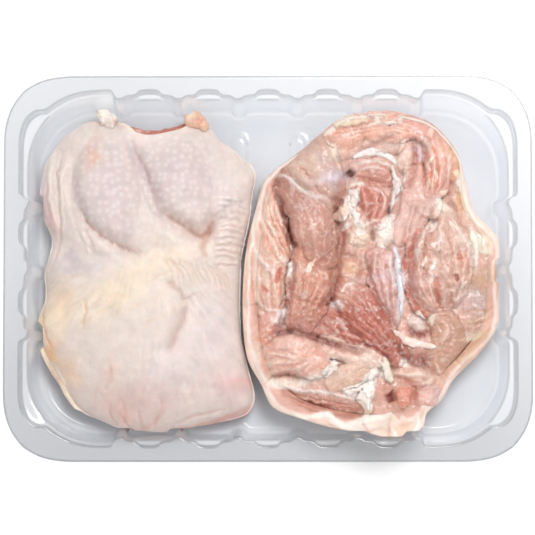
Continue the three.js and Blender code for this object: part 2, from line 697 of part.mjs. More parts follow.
function leftTop(x, y) {
  const angle = Math.atan2(y - leftCentre.y, x - leftCentre.x);
  const share = Math.min(Math.hypot(x - leftCentre.x, y - leftCentre.y) / leftRadius(angle), 1);
  const dome = Math.pow(Math.max(1 - Math.pow(share, leftDome.plan), 0), leftDome.fall);
  let rise = 0;
  for (const [cx, cy, long, wide, turn, height] of leftLobes) {
    const along = (x - cx) * Math.cos(turn * degree) + (y - cy) * Math.sin(turn * degree);
    const across = -(x - cx) * Math.sin(turn * degree) + (y - cy) * Math.cos(turn * degree);
    const off = Math.hypot(along / long, across / wide);
    if (off < 1) rise = Math.max(rise, height * (1 - Math.pow(off, 2.4)));
  }
  let fall = 0;
  for (const { half, deep, samples } of leftCreasePaths) {
    const [off] = nearest(samples, x, y);
    fall = Math.max(fall, deep * Math.exp(-Math.pow(off / half, 2)));
  }
  const edge = 1 - Math.pow(share, 6);
  const height = blend(leftDome.side, leftDome.top, dome) + (rise - fall) * edge;
  return Math.max(height, foodBase + 5);
}

// How far the left skin reaches toward its folded edge at an angle.
function leftCover(angle) {
  let cover = 1;
  const turned = angle / degree;
  for (const bare of leftBare) {
    const inside = smoothShare(turned, bare.from - 7, bare.from + 2)
      * (1 - smoothShare(turned, bare.to - 2, bare.to + 7));
    cover = Math.min(cover, blend(1, bare.cover, inside));
  }
  return cover;
}

// The left leg's outer shape: from the top centre over the side, under, to the middle below.
// Up to 0.86 it is the upper side, up to 1 the turned-under side, then the flat underside.
const leftTurn = 0.86;
const leftUnder = 5;
function leftShape(angle, along) {
  const radius = leftRadius(angle);
  const out = (reach, z) => insideTray([
    leftCentre.x + reach * Math.cos(angle),
    leftCentre.y + reach * Math.sin(angle),
    z,
  ]);
  if (along <= leftTurn) {
    const share = along / leftTurn;
    const reach = radius * Math.sin(share * Math.PI * 0.5) ** 0.9;
    const x = leftCentre.x + reach * Math.cos(angle);
    const y = leftCentre.y + reach * Math.sin(angle);
    return out(reach, leftTop(x, y));
  }
  if (along <= 1) {
    const share = (along - leftTurn) / (1 - leftTurn);
    const turn = share * Math.PI * 0.5;
    const reach = radius - leftUnder * (1 - Math.cos(turn));
    return out(reach, blend(leftDome.side, foodBase, Math.sin(turn)));
  }
  const reach = (radius - leftUnder) * Math.max(1 - (along - 1) / 1.2, 0);
  return out(reach, foodBase);
}

// Outward direction of a closed shape at an angle and a place along it.
function shapeNormal(shape, angle, along) {
  const stepAngle = 0.02;
  const stepAlong = 0.006;
  const a = shape(angle + stepAngle, along);
  const b = shape(angle - stepAngle, along);
  const c = shape(angle, along + stepAlong);
  const d = shape(angle, Math.max(along - stepAlong, 0.0005));
  const round = new THREE.Vector3(a[0] - b[0], a[1] - b[1], a[2] - b[2]);
  const down = new THREE.Vector3(c[0] - d[0], c[1] - d[1], c[2] - d[2]);
  return down.cross(round).normalize();
}

function offsetPlace(shape, angle, along, depth) {
  const place = shape(angle, along);
  if (depth === 0) return place;
  const normal = shapeNormal(shape, angle, along);
  return [
    place[0] - normal.x * depth,
    place[1] - normal.y * depth,
    place[2] - normal.z * depth,
  ];
}

// Triangles over scattered places in plan, each as near to equal-sided as it can be.
function planNet(places) {
  const far = 1e4;
  const all = [...places, [-far, -far], [far, -far], [0, far]];
  const count = places.length;
  const round = (a, b, c) => {
    const [ax, ay] = all[a];
    const [bx, by] = all[b];
    const [cx, cy] = all[c];
    const twice = 2 * (ax * (by - cy) + bx * (cy - ay) + cx * (ay - by));
    const aa = ax * ax + ay * ay;
    const bb = bx * bx + by * by;
    const cc = cx * cx + cy * cy;
    const x = (aa * (by - cy) + bb * (cy - ay) + cc * (ay - by)) / twice;
    const y = (aa * (cx - bx) + bb * (ax - cx) + cc * (bx - ax)) / twice;
    return { a, b, c, x, y, reach: (ax - x) ** 2 + (ay - y) ** 2 };
  };
  let net = [round(count, count + 1, count + 2)];
  for (let at = 0; at < count; at += 1) {
    const [x, y] = all[at];
    const open = new Map();
    const kept = [];
    for (const cell of net) {
      if ((x - cell.x) ** 2 + (y - cell.y) ** 2 > cell.reach) {
        kept.push(cell);
        continue;
      }
      for (const [from, to] of [[cell.a, cell.b], [cell.b, cell.c], [cell.c, cell.a]]) {
        const back = to + ':' + from;
        if (open.has(back)) open.delete(back);
        else open.set(from + ':' + to, [from, to]);
      }
    }
    for (const [from, to] of open.values()) kept.push(round(from, to, at));
    net = kept;
  }
  return net.filter(({ a, b, c }) => Math.max(a, b, c) < count).map(({ a, b, c }) => [a, b, c]);
}

function insidePlan(outline, x, y) {
  let inside = false;
  for (let at = 0, before = outline.length - 1; at < outline.length; before = at, at += 1) {
    const [ax, ay] = outline[at];
    const [bx, by] = outline[before];
    if (ay > y !== by > y && x < ((bx - ax) * (y - ay)) / (by - ay) + ax) inside = !inside;
  }
  return inside;
}

// Distance in plan from a place to an outline's edges.
function edgeOff(outline, x, y) {
  let best = Infinity;
  for (let at = 0; at < outline.length; at += 1) {
    const [ax, ay] = outline[at];
    const [bx, by] = outline[(at + 1) % outline.length];
    const long = (bx - ax) ** 2 + (by - ay) ** 2;
    const share = Math.min(Math.max(((x - ax) * (bx - ax) + (y - ay) * (by - ay)) / long, 0), 1);
    best = Math.min(best, Math.hypot(x - ax - (bx - ax) * share, y - ay - (by - ay) * share));
  }
  return best;
}

// Places inside a ring: first along the given lines, then filled evenly between them.
function evenPlaces(ring, spacing, lines = []) {
  const kept = [];
  const tooNear = (x, y, reach) => kept.some(([kx, ky]) => Math.hypot(kx - x, ky - y) < reach);
  const fits = (x, y) => insidePlan(ring, x, y) && edgeOff(ring, x, y) > spacing * netMargin + 1;
  for (const line of lines) {
    for (const [x, y] of line) {
      if (fits(x, y) && !tooNear(x, y, spacing * 0.8)) kept.push([x, y]);
    }
  }
  const rows = spacing * Math.sqrt(0.75);
  const xs = ring.map((place) => place[0]);
  const ys = ring.map((place) => place[1]);
  for (let row = 0, y = Math.min(...ys); y < Math.max(...ys); row += 1, y += rows) {
    const shift = row % 2 === 0 ? 0 : spacing / 2;
    for (let x = Math.min(...xs) + shift; x < Math.max(...xs); x += spacing) {
      if (fits(x, y) && !tooNear(x, y, spacing * 0.72)) kept.push([x, y]);
    }
  }
  return kept;
}

// A closed solid from rings, whose two ends are filled by nets over the places inside them.
function ringSolid(rings, firstInside, lastInside) {
  const points = rings.flat();
  const faces = [];
  const count = rings[0].length;
  for (let at = 0; at < count; at += 1) {
    const next = (at + 1) % count;
    for (let band = 0; band + 1 < rings.length; band += 1) {
      const a = band * count + at;
      const b = band * count + next;
      const c = (band + 1) * count + next;
      const d = (band + 1) * count + at;
      const straight = gapBetween(points[a], points[c]) <= gapBetween(points[b], points[d]);
      if (straight) faces.push([a, d, c], [a, c, b]);
      else faces.push([a, d, b], [b, d, c]);
    }
  }
  const fill = (ring, base, inside, turned) => {
    const start = points.length;
    points.push(...inside);
    const index = (at) => (at < count ? base + at : start + at - count);
    for (const [a, b, c] of planNet([...ring, ...inside].map(([x, y]) => [x, y]))) {
      const corners = [a, b, c].map((at) => points[index(at)]);
      const x = (corners[0][0] + corners[1][0] + corners[2][0]) / 3;
      const y = (corners[0][1] + corners[1][1] + corners[2][1]) / 3;
      if (!insidePlan(ring, x, y)) continue;
      faces.push(turned ? [index(a), index(c), index(b)] : [index(a), index(b), index(c)]);
    }
  };
  fill(rings[0], 0, firstInside, false);
  fill(rings[rings.length - 1], (rings.length - 1) * count, lastInside, true);
  return toManifold(points, faces);
}

function gapBetween(one, two) {
  return Math.hypot(one[0] - two[0], one[1] - two[1], one[2] - two[2]);
}

function anglesRound(count) {
  return Array.from({ length: count }, (_, at) => (at / count) * 2 * Math.PI - Math.PI);
}

// The plain face between the left skin and the meat under it, smoother than the outside.
function leftInner(x, y) {
  const angle = Math.atan2(y - leftCentre.y, x - leftCentre.x);
  const share = Math.min(Math.hypot(x - leftCentre.x, y - leftCentre.y) / leftRadius(angle), 1);
  const dome = Math.pow(Math.max(1 - Math.pow(share, leftDome.plan), 0), leftDome.fall);
  return blend(leftDome.side, leftDome.top, dome) - skinThickness
    - leftSink * (1 - Math.pow(share, 5));
}

function leftSkinSolid() {
  const angles = anglesRound(stationsRound);
  const outer = leftRings.map((share) => angles.map(
    (angle) => leftShape(angle, share * leftCover(angle)),
  ));
  const inner = leftRings.slice(2).reverse().map((share) => angles.map(
    (angle) => offsetPlace(leftShape, angle, share * leftCover(angle), skinThickness),
  ));
  const lines = leftCreasePaths.map(({ samples }) => samples);
  const outside = evenPlaces(outer[0], netSpacing.left, lines).map(
    ([x, y]) => [x, y, leftTop(x, y)],
  );
  const inside = evenPlaces(inner[inner.length - 1], netSpacing.leftInner).map(
    ([x, y]) => [x, y, leftInner(x, y)],
  );
  return ringSolid([...outer, ...inner], outside, inside);
}

// Where the meat's uncovered edge has its rings, from the skin's edge to the underside.
const meatEdgeShares = [0, 0.4, 0.75, 1];

function leftMeatSolid() {
  const angles = anglesRound(stationsRound);
  const depth = skinThickness + skinGap;
  const rings = leftRings.slice(2).map((share) => angles.map(
    (angle) => offsetPlace(leftShape, angle, share * leftCover(angle), depth),
  ));
  rings.push(angles.map((angle) => offsetPlace(leftShape, angle, leftCover(angle) + 0.012, depth)));
  for (const share of meatEdgeShares) {
    rings.push(angles.map((angle) => leftShape(angle, blend(leftCover(angle) + 0.06, 1.1, share))));
  }
  const inside = evenPlaces(rings[0], netSpacing.leftInner).map(
    ([x, y]) => [x, y, leftInner(x, y) - skinGap],
  );
  return ringSolid(rings, inside, [[leftCentre.x, leftCentre.y, foodBase]]);
}

// Shape of the right leg: a skin bowl below and ridged meat above.
const skinRadius = outlineRadius(rightSkinOutline, rightCentre);
const meatRadius = outlineRadius(rightMeatOutline, rightCentre);
const rightPaths = Object.values(rightRelief).map((places) => smoothPath(places));

function riseAt(angle, column) {
  const turned = Math.atan2(Math.sin(angle), Math.cos(angle)) / degree;
  for (let at = 0; at + 1 < rightRise.length; at += 1) {
    const low = rightRise[at];
    const high = rightRise[at + 1];
    if (turned <= high[0]) {
      return blend(low[column], high[column], smoothShare(turned, low[0], high[0]));
    }
  }
  return rightRise[0][column];
}

// Outer side of the right skin, from the middle of its underside up to its free edge.
function skinShape(angle, along) {
  const radius = skinRadius(angle);
  const flat = radius - rightSides.curl;
  const edge = riseAt(angle, 1);
  if (along <= rightSides.flatShare) {
    const reach = (flat * along) / rightSides.flatShare;
    return [
      rightCentre.x + reach * Math.cos(angle), rightCentre.y + reach * Math.sin(angle), foodBase,
    ];
  }
  const turn = ((along - rightSides.flatShare) / (1 - rightSides.flatShare)) * rightSides.turn;
  const reach = flat + (rightSides.curl * Math.sin(turn)) / Math.sin(rightSides.turn);
  const lift = (1 - Math.cos(turn)) / (1 - Math.cos(rightSides.turn));
  return insideTray([
    rightCentre.x + reach * Math.cos(angle),
    rightCentre.y + reach * Math.sin(angle),
    blend(foodBase, edge, lift),
  ]);
}

// Ring places along the right skin, shared by the skin and by the meat's underside.
const skinRings = [0.4, 0.8, 0.87, 0.93, 1];

function rightSkinSolid() {
  const angles = anglesRound(stationsRound);
  const outer = skinRings.map((share) => angles.map((angle) => skinShape(angle, share)));
  const inner = [...skinRings].reverse().map((share) => angles.map(
    (angle) => offsetPlace(skinShape, angle, share, -skinThickness),
  ));
  const middle = [rightCentre.x, rightCentre.y];
  return ringSolid(
    [...outer, ...inner], [[...middle, foodBase]], [[...middle, foodBase + skinThickness]],
  );
}

function rightTop(x, y) {
  const angle = Math.atan2(y - rightCentre.y, x - rightCentre.x);
  const share = Math.min(Math.hypot(x - rightCentre.x, y - rightCentre.y) / meatRadius(angle), 1);
  const edge = riseAt(angle, 2);
  let height = blend(edge, rightSides.level, 1 - Math.pow(share, 3));
  for (const samples of rightPaths) {
    const [off, half, crest] = nearest(samples, x, y);
    if (off < half) {
      const round = 1 - Math.sqrt(1 - (off / half) ** 2);
      height = Math.max(height, crest - crestDrop * half * round);
    }
  }
  const taper = Math.sqrt(Math.max(1 - Math.pow(share, 9), 0));
  return blend(edge, height, taper);
}

function rightMeatSolid(skin) {
  const angles = anglesRound(stationsRound);
  const depth = skinThickness + skinGap;
  const bottom = skinRings.slice(0, 4).map((share) => angles.map(
    (angle) => offsetPlace(skinShape, angle, share, -depth),
  ));
  const place = (angle, share) => {
    const reach = meatRadius(angle) * share;
    const x = rightCentre.x + reach * Math.cos(angle);
    const y = rightCentre.y + reach * Math.sin(angle);
    return [x, y];
  };
  const rim = angles.map((angle) => insideTray([...place(angle, 1), riseAt(angle, 2)]));
  const top = bedRings.map((share) => angles.map((angle) => {
    const [x, y] = place(angle, share);
    return insideTray([x, y, rightTop(x, y)]);
  }));
  const inside = evenPlaces(top[top.length - 1], netSpacing.right, rightPaths).map(
    ([x, y]) => [x, y, rightTop(x, y)],
  );
  const middle = [rightCentre.x, rightCentre.y];
  const raw = ringSolid([...bottom, rim, ...top], [[...middle, foodBase + depth]], inside);
  return fitted(raw, [skin]);
}

// Takes the neighbours and a thin gap round them away, and keeps the main body.
function fitted(solid, neighbours) {
  let result = solid;
  for (const other of neighbours) {
    if (solid.intersect(other).volume() < 1e-6) continue;
    result = result.subtract(other);
    for (const [x, y, z] of [[0, 0, gap], [gap, 0, 0], [-gap, 0, 0], [0, gap, 0], [0, -gap, 0]]) {
      result = result.subtract(other.translate([x, y, z]));
    }
  }
  return mainBody(result);
}

// Takes the bed and a thin layer above it away from a piece that lies on it.
function rested(solid, bed) {
  return mainBody(solid.subtract(bed).subtract(bed.translate([0, 0, gap])));
}

function mainBody(solid) {
  const bodies = solid.decompose();
  return bodies.reduce((best, body) => (body.volume() > best.volume() ? body : best));
}

// A closed solid of rings between two single places.
function tipSolid(first, rings, last) {
  const points = [first, ...rings.flat(), last];
  const faces = [];
  const count = rings[0].length;
  const end = 1 + (rings.length - 1) * count;
  for (let at = 0; at < count; at += 1) {
    const next = (at + 1) % count;
    faces.push([0, 1 + at, 1 + next]);
    faces.push([points.length - 1, end + next, end + at]);
    for (let band = 0; band + 1 < rings.length; band += 1) {
      const a = 1 + band * count + at;
      const b = 1 + band * count + next;
      faces.push([a, a + count, b + count], [a, b + count, b]);
    }
  }
  return toManifold(points, faces);
}

// A rounded lobe along a path, with its crest at the given heights and a deep underside.
function lobeSolid(places, round, along, depth = pieceDepth) {
  const samples = smoothPath(places, along);
  const lengths = [0];
  for (let at = 1; at < samples.length; at += 1) {
    const step = Math.hypot(
      samples[at][0] - samples[at - 1][0], samples[at][1] - samples[at - 1][1],
    );
    lengths.push(lengths[at - 1] + step);
  }
  const stations = samples.map((sample, at) => {
    const before = samples[Math.max(at - 1, 0)];
    const after = samples[Math.min(at + 1, samples.length - 1)];
    const length = Math.hypot(after[0] - before[0], after[1] - before[1]);
    const way = [(after[0] - before[0]) / length, (after[1] - before[1]) / length];
    return { x: sample[0], y: sample[1], half: sample[2], crest: sample[3], way, size: 1 };
  });
  const first = stations[0];
  const last = stations[stations.length - 1];
  const cap = (station, sign, off) => ({
    ...station,
    x: station.x + sign * station.way[0] * station.half * off,
    y: station.y + sign * station.way[1] * station.half * off,
    size: Math.sqrt(1 - off * off),
  });
  const all = [cap(first, -1, capReach), ...stations, cap(last, 1, capReach)];
  const section = ({ x, y, half, crest, way, size }) => {
    const rise = pieceRound * half;
    const below = Math.min(rise * depth, crest - rise - pieceFloor);
    const ring = [];
    for (let at = 0; at < round; at += 1) {
      const turn = (at / round) * 2 * Math.PI;
      const across = half * size * Math.cos(turn);
      const up = Math.sin(turn) * size * (Math.sin(turn) > 0 ? rise : below);
      ring.push(insideTray([x - way[1] * across, y + way[0] * across, crest - rise + up]));
    }
    return ring;
  };
  const tip = (station, sign) => insideTray([
    station.x + sign * station.way[0] * station.half,
    station.y + sign * station.way[1] * station.half,
    station.crest - pieceRound * station.half,
  ]);
  return tipSolid(tip(first, -1), all.map(section), tip(last, 1));
}

const group = new THREE.Group();
group.name = 'meat_tray_pack';

const tray = traySolid();
const clearLook = { transparent: true, opacity: 0.35, roughness: 0.1 };
group.add(piece('tray', fromManifold(tray), 0xe6eaee, clearLook));

const leftSkin = leftSkinSolid();
const leftMeat = fitted(leftMeatSolid(), [leftSkin]);
group.add(piece('left_skin', fromManifold(leftSkin), 0xeeded2));
group.add(piece('left_meat', fromManifold(leftMeat), 0xc98474));
const leftDone = [leftSkin, leftMeat];
for (const [name, { tint, path }] of Object.entries(leftPieces)) {
  const solid = fitted(lobeSolid(path, 10, 4, 1.2), leftDone);
  leftDone.push(solid);
  group.add(piece('left_' + name, fromManifold(solid), tint));
}

const rightSkin = rightSkinSolid();
const rightMeat = rightMeatSolid(rightSkin);
group.add(piece('right_skin', fromManifold(rightSkin), 0xead4c0));
group.add(piece('right_meat', fromManifold(rightMeat), 0xdba892));
const rightDone = [];
for (const [name, { tint, path }] of Object.entries(rightPieces)) {
  const broad = Math.max(...path.map((place) => place[2])) > 6;
  const raw = lobeSolid(path, broad ? 12 : 7, broad ? 7 : 3);
  const solid = fitted(rested(raw, rightMeat), [rightSkin, ...rightDone]);
  rightDone.push(solid);
  group.add(piece('right_' + name, fromManifold(solid), tint));
}

export default group;
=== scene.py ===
# %% [markdown]
# # Meat tray pack
# An open, clear food tray holds two raw, boned chicken legs. The left one lies skin side up. The
# right one is opened flat with its meat side up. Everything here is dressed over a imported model
# of plain solids, which is loaded first and never moved.

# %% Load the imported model
import math

import bpy
import mathutils
import numpy as np
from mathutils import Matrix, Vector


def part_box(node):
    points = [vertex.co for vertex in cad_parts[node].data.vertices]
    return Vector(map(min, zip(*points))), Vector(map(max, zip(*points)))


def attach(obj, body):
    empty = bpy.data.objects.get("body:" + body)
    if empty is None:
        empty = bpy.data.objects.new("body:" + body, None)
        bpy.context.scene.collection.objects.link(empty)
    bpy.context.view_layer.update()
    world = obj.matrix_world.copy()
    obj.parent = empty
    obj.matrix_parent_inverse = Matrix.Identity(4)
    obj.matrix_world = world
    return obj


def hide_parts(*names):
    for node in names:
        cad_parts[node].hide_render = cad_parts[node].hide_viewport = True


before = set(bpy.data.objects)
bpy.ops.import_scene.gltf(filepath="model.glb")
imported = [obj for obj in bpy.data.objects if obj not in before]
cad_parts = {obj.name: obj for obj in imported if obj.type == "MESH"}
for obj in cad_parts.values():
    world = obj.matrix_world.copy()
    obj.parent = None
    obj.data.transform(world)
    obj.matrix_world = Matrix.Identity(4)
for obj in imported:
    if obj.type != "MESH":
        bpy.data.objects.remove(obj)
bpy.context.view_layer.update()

# %% [markdown]
# ## Helpers for places, paths and noise
# The meat is made as fine sheets of places whose height comes from a rule. A rule needs three
# helpers: a smooth curve through a few given knots, the nearest point of such a curve, and
# a gentle noise. They work on whole arrays at once, so a sheet of 90,000 places takes moments.

# %% Curves through knots
MM = 0.001


def smooth_curve(knots, count, closed=False):
    """Places on an even-tempered curve that passes through every knot."""
    knots = np.array(knots, float)
    total = len(knots)
    steps = count if closed else count + 1
    places = []
    for step in range(steps):
        reach = (total if closed else total - 1) * step / count
        start = int(reach)
        share = reach - start
        if not closed and start >= total - 1:
            start, share = total - 2, 1.0
        b, c = knots[start % total], knots[(start + 1) % total]
        a = knots[(start - 1) % total] if closed or start > 0 else 2 * b - c
        d = knots[(start + 2) % total] if closed or start + 2 < total else 2 * c - b
        first, middle, last = (max(np.linalg.norm(q - p), 1e-6) ** 0.5 for p, q in ((a, b), (b, c), (c, d)))
        leave = ((b - a) / first - (c - a) / (first + middle) + (c - b) / middle) * middle
        arrive = ((c - b) / middle - (d - b) / (middle + last) + (d - c) / last) * middle
        bend = 3 * (c - b) - 2 * leave - arrive
        twist = 2 * (b - c) + leave + arrive
        places.append(b + leave * share + bend * share**2 + twist * share**3)
    return np.array(places)


def follow(path, x, y):
    """For each place: distance to the path, signed distance, length along it, and what it carries."""
    best = np.full(x.shape, 1e9)
    side = np.zeros(x.shape)
    along = np.zeros(x.shape)
    carried = np.zeros(x.shape + (path.shape[1] - 2,))
    length = 0.0
    for p, q in zip(path[:-1], path[1:]):
        dx, dy = q[0] - p[0], q[1] - p[1]
        run = math.hypot(dx, dy) + 1e-9
        share = np.clip(((x - p[0]) * dx + (y - p[1]) * dy) / run**2, 0, 1)
        off_x, off_y = x - p[0] - dx * share, y - p[1] - dy * share
        off = np.hypot(off_x, off_y)
        near = off < best
        best = np.where(near, off, best)
        side = np.where(near, (dx * off_y - dy * off_x) / run, side)
        along = np.where(near, length + share * run, along)
        value = p[2:] + (q[2:] - p[2:]) * share[..., None]
        carried = np.where(near[..., None], value, carried)
        length += run
    return best, side, along, carried


# %% Noise and easing
def lattice(ix, iy, seed):
    """A fixed pseudo-random number from 0 to 1 for each whole place of a lattice."""
    mixed = (ix.astype(np.int64) * 374761393 + iy.astype(np.int64) * 668265263 + seed * 974711) & 0xFFFFFFFF
    mixed = ((mixed ^ (mixed >> 13)) * 1274126177) & 0xFFFFFFFF
    return ((mixed ^ (mixed >> 16)) & 0xFFFF) / 65535.0


def cloud(x, y, size, seed=0, octaves=2):
    """Smooth noise from about -1 to 1, with lumps as wide as size."""
    total = np.zeros(np.shape(x))
    weight, whole = 1.0, 0.0
    for octave in range(octaves):
        u, v = x / size, y / size
        iu, iv = np.floor(u), np.floor(v)
        fu, fv = u - iu, v - iv
        fu, fv = (f * f * f * (f * (f * 6 - 15) + 10) for f in (fu, fv))
        mark = seed + 31 * octave
        low = lattice(iu, iv, mark) * (1 - fu) + lattice(iu + 1, iv, mark) * fu
        high = lattice(iu, iv + 1, mark) * (1 - fu) + lattice(iu + 1, iv + 1, mark) * fu
        total += weight * ((low * (1 - fv) + high * fv) * 2 - 1)
        whole += weight
        weight *= 0.5
        size = size * 0.5
    return total / whole * 1.4


def ease(value, start, end):
    share = np.clip((value - start) / (end - start), 0, 1)
    return share * share * (3 - 2 * share)


def linear(colour):
    """A screen colour, each part 0 to 255, as the linear light that Blender works with."""
    part = np.array(colour, float) / 255
    return np.where(part <= 0.04045, part / 12.92, ((part + 0.055) / 1.055) ** 2.4)


def turned_degrees(angle):
    """An angle in radians as degrees from -180 to 180."""
    return np.degrees(np.arctan2(np.sin(angle), np.cos(angle)))


def out_from(centre, reach, angle):
    """Places so far out from a centre, in the direction of each angle."""
    return centre[0] + reach * np.cos(angle), centre[1] + reach * np.sin(angle)


def round_rule(turn, values):
    """A rule that gives the values placed round a full turn, for any angle from -pi to pi."""
    first = np.argsort(turn)
    knots = np.concatenate([turn[first] + whole for whole in (-2 * math.pi, 0, 2 * math.pi)])
    return lambda angle: np.interp(angle, knots, np.tile(values[first], 3))


def in_ellipse(x, y, long, wide, turn):
    """Places along and across a turned ellipse round 0, as shares of its half sizes."""
    c, s = math.cos(math.radians(turn)), math.sin(math.radians(turn))
    return (x * c + y * s) / long, (y * c - x * s) / wide


print("noise spread:", float(cloud(np.arange(2000.0), np.zeros(2000), 3.0, 1).std()))

# %% [markdown]
# ## Sheets and shells
# A leg is round in plan, so its surface is a square grid of places pressed into a disc. That
# keeps the small squares nearly even, where rings and spokes would crowd at the middle. A grid,
# some rings below its edge and one last place below close into a shell with no holes.

# %% Disc grid and closed shells
def disc_grid(count):
    """Share of the way out and angle for a count by count grid that fills a disc."""
    line = np.linspace(-1, 1, count)
    u, v = np.meshgrid(line, line)
    wide = np.abs(u) > np.abs(v)
    share = np.where(wide, np.abs(u), np.abs(v))
    turn_u = math.pi / 4 * v / np.where(wide, u, 1) + np.where(u < 0, math.pi, 0)
    turn_v = math.pi / 2 - math.pi / 4 * u / np.where(wide, 1, v) + np.where(v < 0, math.pi, 0)
    return share, np.where(wide, turn_u, turn_v)


def rim_of(grid):
    """The places on a grid's edge, anticlockwise from its lower left corner."""
    return np.concatenate([grid[0, :-1], grid[:-1, -1], grid[-1, :0:-1], grid[:0:-1, 0]])


def grid_faces(count):
    index = np.arange(count * count).reshape(count, count)
    return np.stack([index[:-1, :-1], index[:-1, 1:], index[1:, 1:], index[1:, :-1]], -1).reshape(-1, 4)


def add_object(name, data):
    made = bpy.data.objects.new(name, data)
    bpy.context.collection.objects.link(made)
    return made


def tube_faces(rows, around):
    """Faces of a net whose rows each close on themselves."""
    index = np.arange(rows * around).reshape(rows, around)
    turned = np.roll(index, -1, axis=1)
    return np.stack([index[:-1], turned[:-1], turned[1:], index[1:]], -1).reshape(-1, 4)


# How each value that a mesh carries is stored on its points.
STORED = {"tint": ("FLOAT_COLOR", "color"), "grain": ("FLOAT_VECTOR", "vector"), "bumps": ("FLOAT", "value")}


def make_mesh(name, places, faces, carried=None):
    """A mesh object in metres from places in millimetres, with named values on its points."""
    mesh = bpy.data.meshes.new(name)
    mesh.from_pydata((np.asarray(places) * MM).tolist(), [], [list(map(int, face)) for face in faces])
    mesh.polygons.foreach_set("use_smooth", [True] * len(mesh.polygons))
    for label, values in (carried or {}).items():
        if label == "tint":
            values = np.concatenate([values, np.ones((len(values), 1))], 1)
        kind, field = STORED[label]
        mesh.attributes.new(label, kind, "POINT").data.foreach_set(field, np.asarray(values, float).ravel())
    mesh.update()
    return add_object(name, mesh)


def close_shell(name, grid, rings, last, carried, ring_tints=None):
    """A closed shell: a grid on top, rings that run down from its edge, and one last place."""
    count = len(grid)
    total = count * count
    rim = above = rim_of(np.arange(total).reshape(count, count))
    faces = [grid_faces(count)]
    for _ in rings:
        below = total + np.arange(len(rim))
        faces.append(np.stack([np.roll(above, -1), above, below, np.roll(below, -1)], 1))
        above = below
        total += len(rim)
    faces = np.concatenate(faces).tolist() + [[b, a, total] for a, b in zip(above, np.roll(above, -1))]
    full = {}
    for label, values in carried.items():
        values = np.asarray(values).reshape(count * count, -1)
        edges = ring_tints if label == "tint" and ring_tints else [values[rim]] * len(rings)
        full[label] = np.concatenate([values] + edges + [values[:1]]).squeeze()
    made = make_mesh(name, np.concatenate([grid.reshape(-1, 3), *rings, [last]]), faces, full)
    print(name, "has", len(made.data.polygons), "faces")
    return made


# %% [markdown]
# ## Sizes of the tray
# The tray is 260 by 190 mm. Its wall is measured as insets from the rim's outer edge, level by
# level. Pillars stand inward from the wall, bumps stand outward just under the rim, and a lug
# fills each corner beside the short side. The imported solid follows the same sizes.

# %% Tray sizes
low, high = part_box("tray")
HALF_LONG = round(high[0] / MM, 3)
HALF_SHORT = round(high[1] / MM, 3)
HEIGHT = round(high[2] / MM, 3)
SHEET = 0.6
LONG = {"panel": 10.2, "bump": 7.3, "corner": 7.6, "foot": 14.0, "floor": 16.6}
SHORT = {"panel": 10.7, "bump": 8.0, "corner": 8.0, "foot": 14.4, "floor": 17.0}
PILLARS_LONG = (14.65, 43.95, 73.3)
PILLARS_SHORT = (0, 32.3)
BUMPS_LONG = (0, 29.3, 58.6)
BUMP_SHORT = 16.9
LUG = {"x": 122, "y": 79, "radius": 13, "end": 50}
PIVOT = (80, 40)
RIB = {"half": 4.5, "crest": 3.2, "end": 70, "rise": 2.0}
print("tray half sizes, mm:", HALF_LONG, HALF_SHORT, HEIGHT)


# %% Stations and levels of the wall
def corner_place(angle, half_x, half_y, radius):
    """Where a ray from the corner's pivot meets a rounded rectangle."""
    way = np.array([math.cos(math.radians(angle)), math.sin(math.radians(angle))])
    pivot = np.array(PIVOT, float)
    to_x = (half_x - pivot[0]) / way[0] if way[0] > 1e-9 else 1e9
    to_y = (half_y - pivot[1]) / way[1] if way[1] > 1e-9 else 1e9
    reach = min(to_x, to_y)
    off = pivot - [half_x - radius, half_y - radius]
    if np.all(off + way * reach > 0):
        along = off @ way
        reach = -along + math.sqrt(along**2 - off @ off + radius**2)
    return pivot + way * reach


def quarter_stations():
    """Stations from the middle of a long side round one corner to the middle of a short side."""
    def feature(side, centre, kind, outer=False):
        marks = []
        for way, face in ((-1, 0), (-1, 1), (1, 1), (1, 0)):
            plain = "corner" if way > 0 and outer else "panel"
            marks.append({"side": side, "centre": centre, "way": way, "face": face,
                          "feature": kind, "kind": kind if face else plain})
        return marks
    marks = feature(LONG, BUMPS_LONG[0], "bump")[2:]
    for number, centre in enumerate(PILLARS_LONG):
        marks += feature(LONG, centre, "pillar", number == 2)
        if number < 2:
            marks += feature(LONG, BUMPS_LONG[number + 1], "bump")
    marks += [{"angle": angle} for angle in (90, 80, 70, 60, 51.5, 48.5, 40, 30, 20, 10, 0)]
    short = feature(SHORT, PILLARS_SHORT[0], "pillar")[2:]
    short += feature(SHORT, BUMP_SHORT, "bump") + feature(SHORT, PILLARS_SHORT[1], "pillar", True)
    return marks + short[::-1]


def pillar_inset(side, kind, top, stand):
    return side["panel"] + top + stand if kind == "pillar" else side[kind] + top


def upper_corner(angle, more):
    if angle < LUG["end"]:
        return LUG["x"] - more, LUG["y"] - more, LUG["radius"] - more / 2
    return HALF_LONG - 10 - more, HALF_SHORT - 7.6 - more, 35 - more / 2


def plain_corner(x, y, radius):
    return lambda angle: (HALF_LONG - x, HALF_SHORT - y, radius)


def low_inset(side, kind):
    if kind == "pillar":
        return side["panel"] + 2.8
    return 9.2 if kind == "corner" and side is LONG else side["panel"] + 1


def foot_inset(name, stand):
    return lambda side, kind: side[name] + (stand if kind == "pillar" else 0)


# Each level: height, depth down the wall from 0 to 1, shift and drop of the outer face,
# inset rule for the sides, and rounded rectangle for the corner.
def rim_level(height, inset, radius, drop):
    return height, 0, -SHEET, drop, lambda s, k: inset, plain_corner(inset, inset, radius)


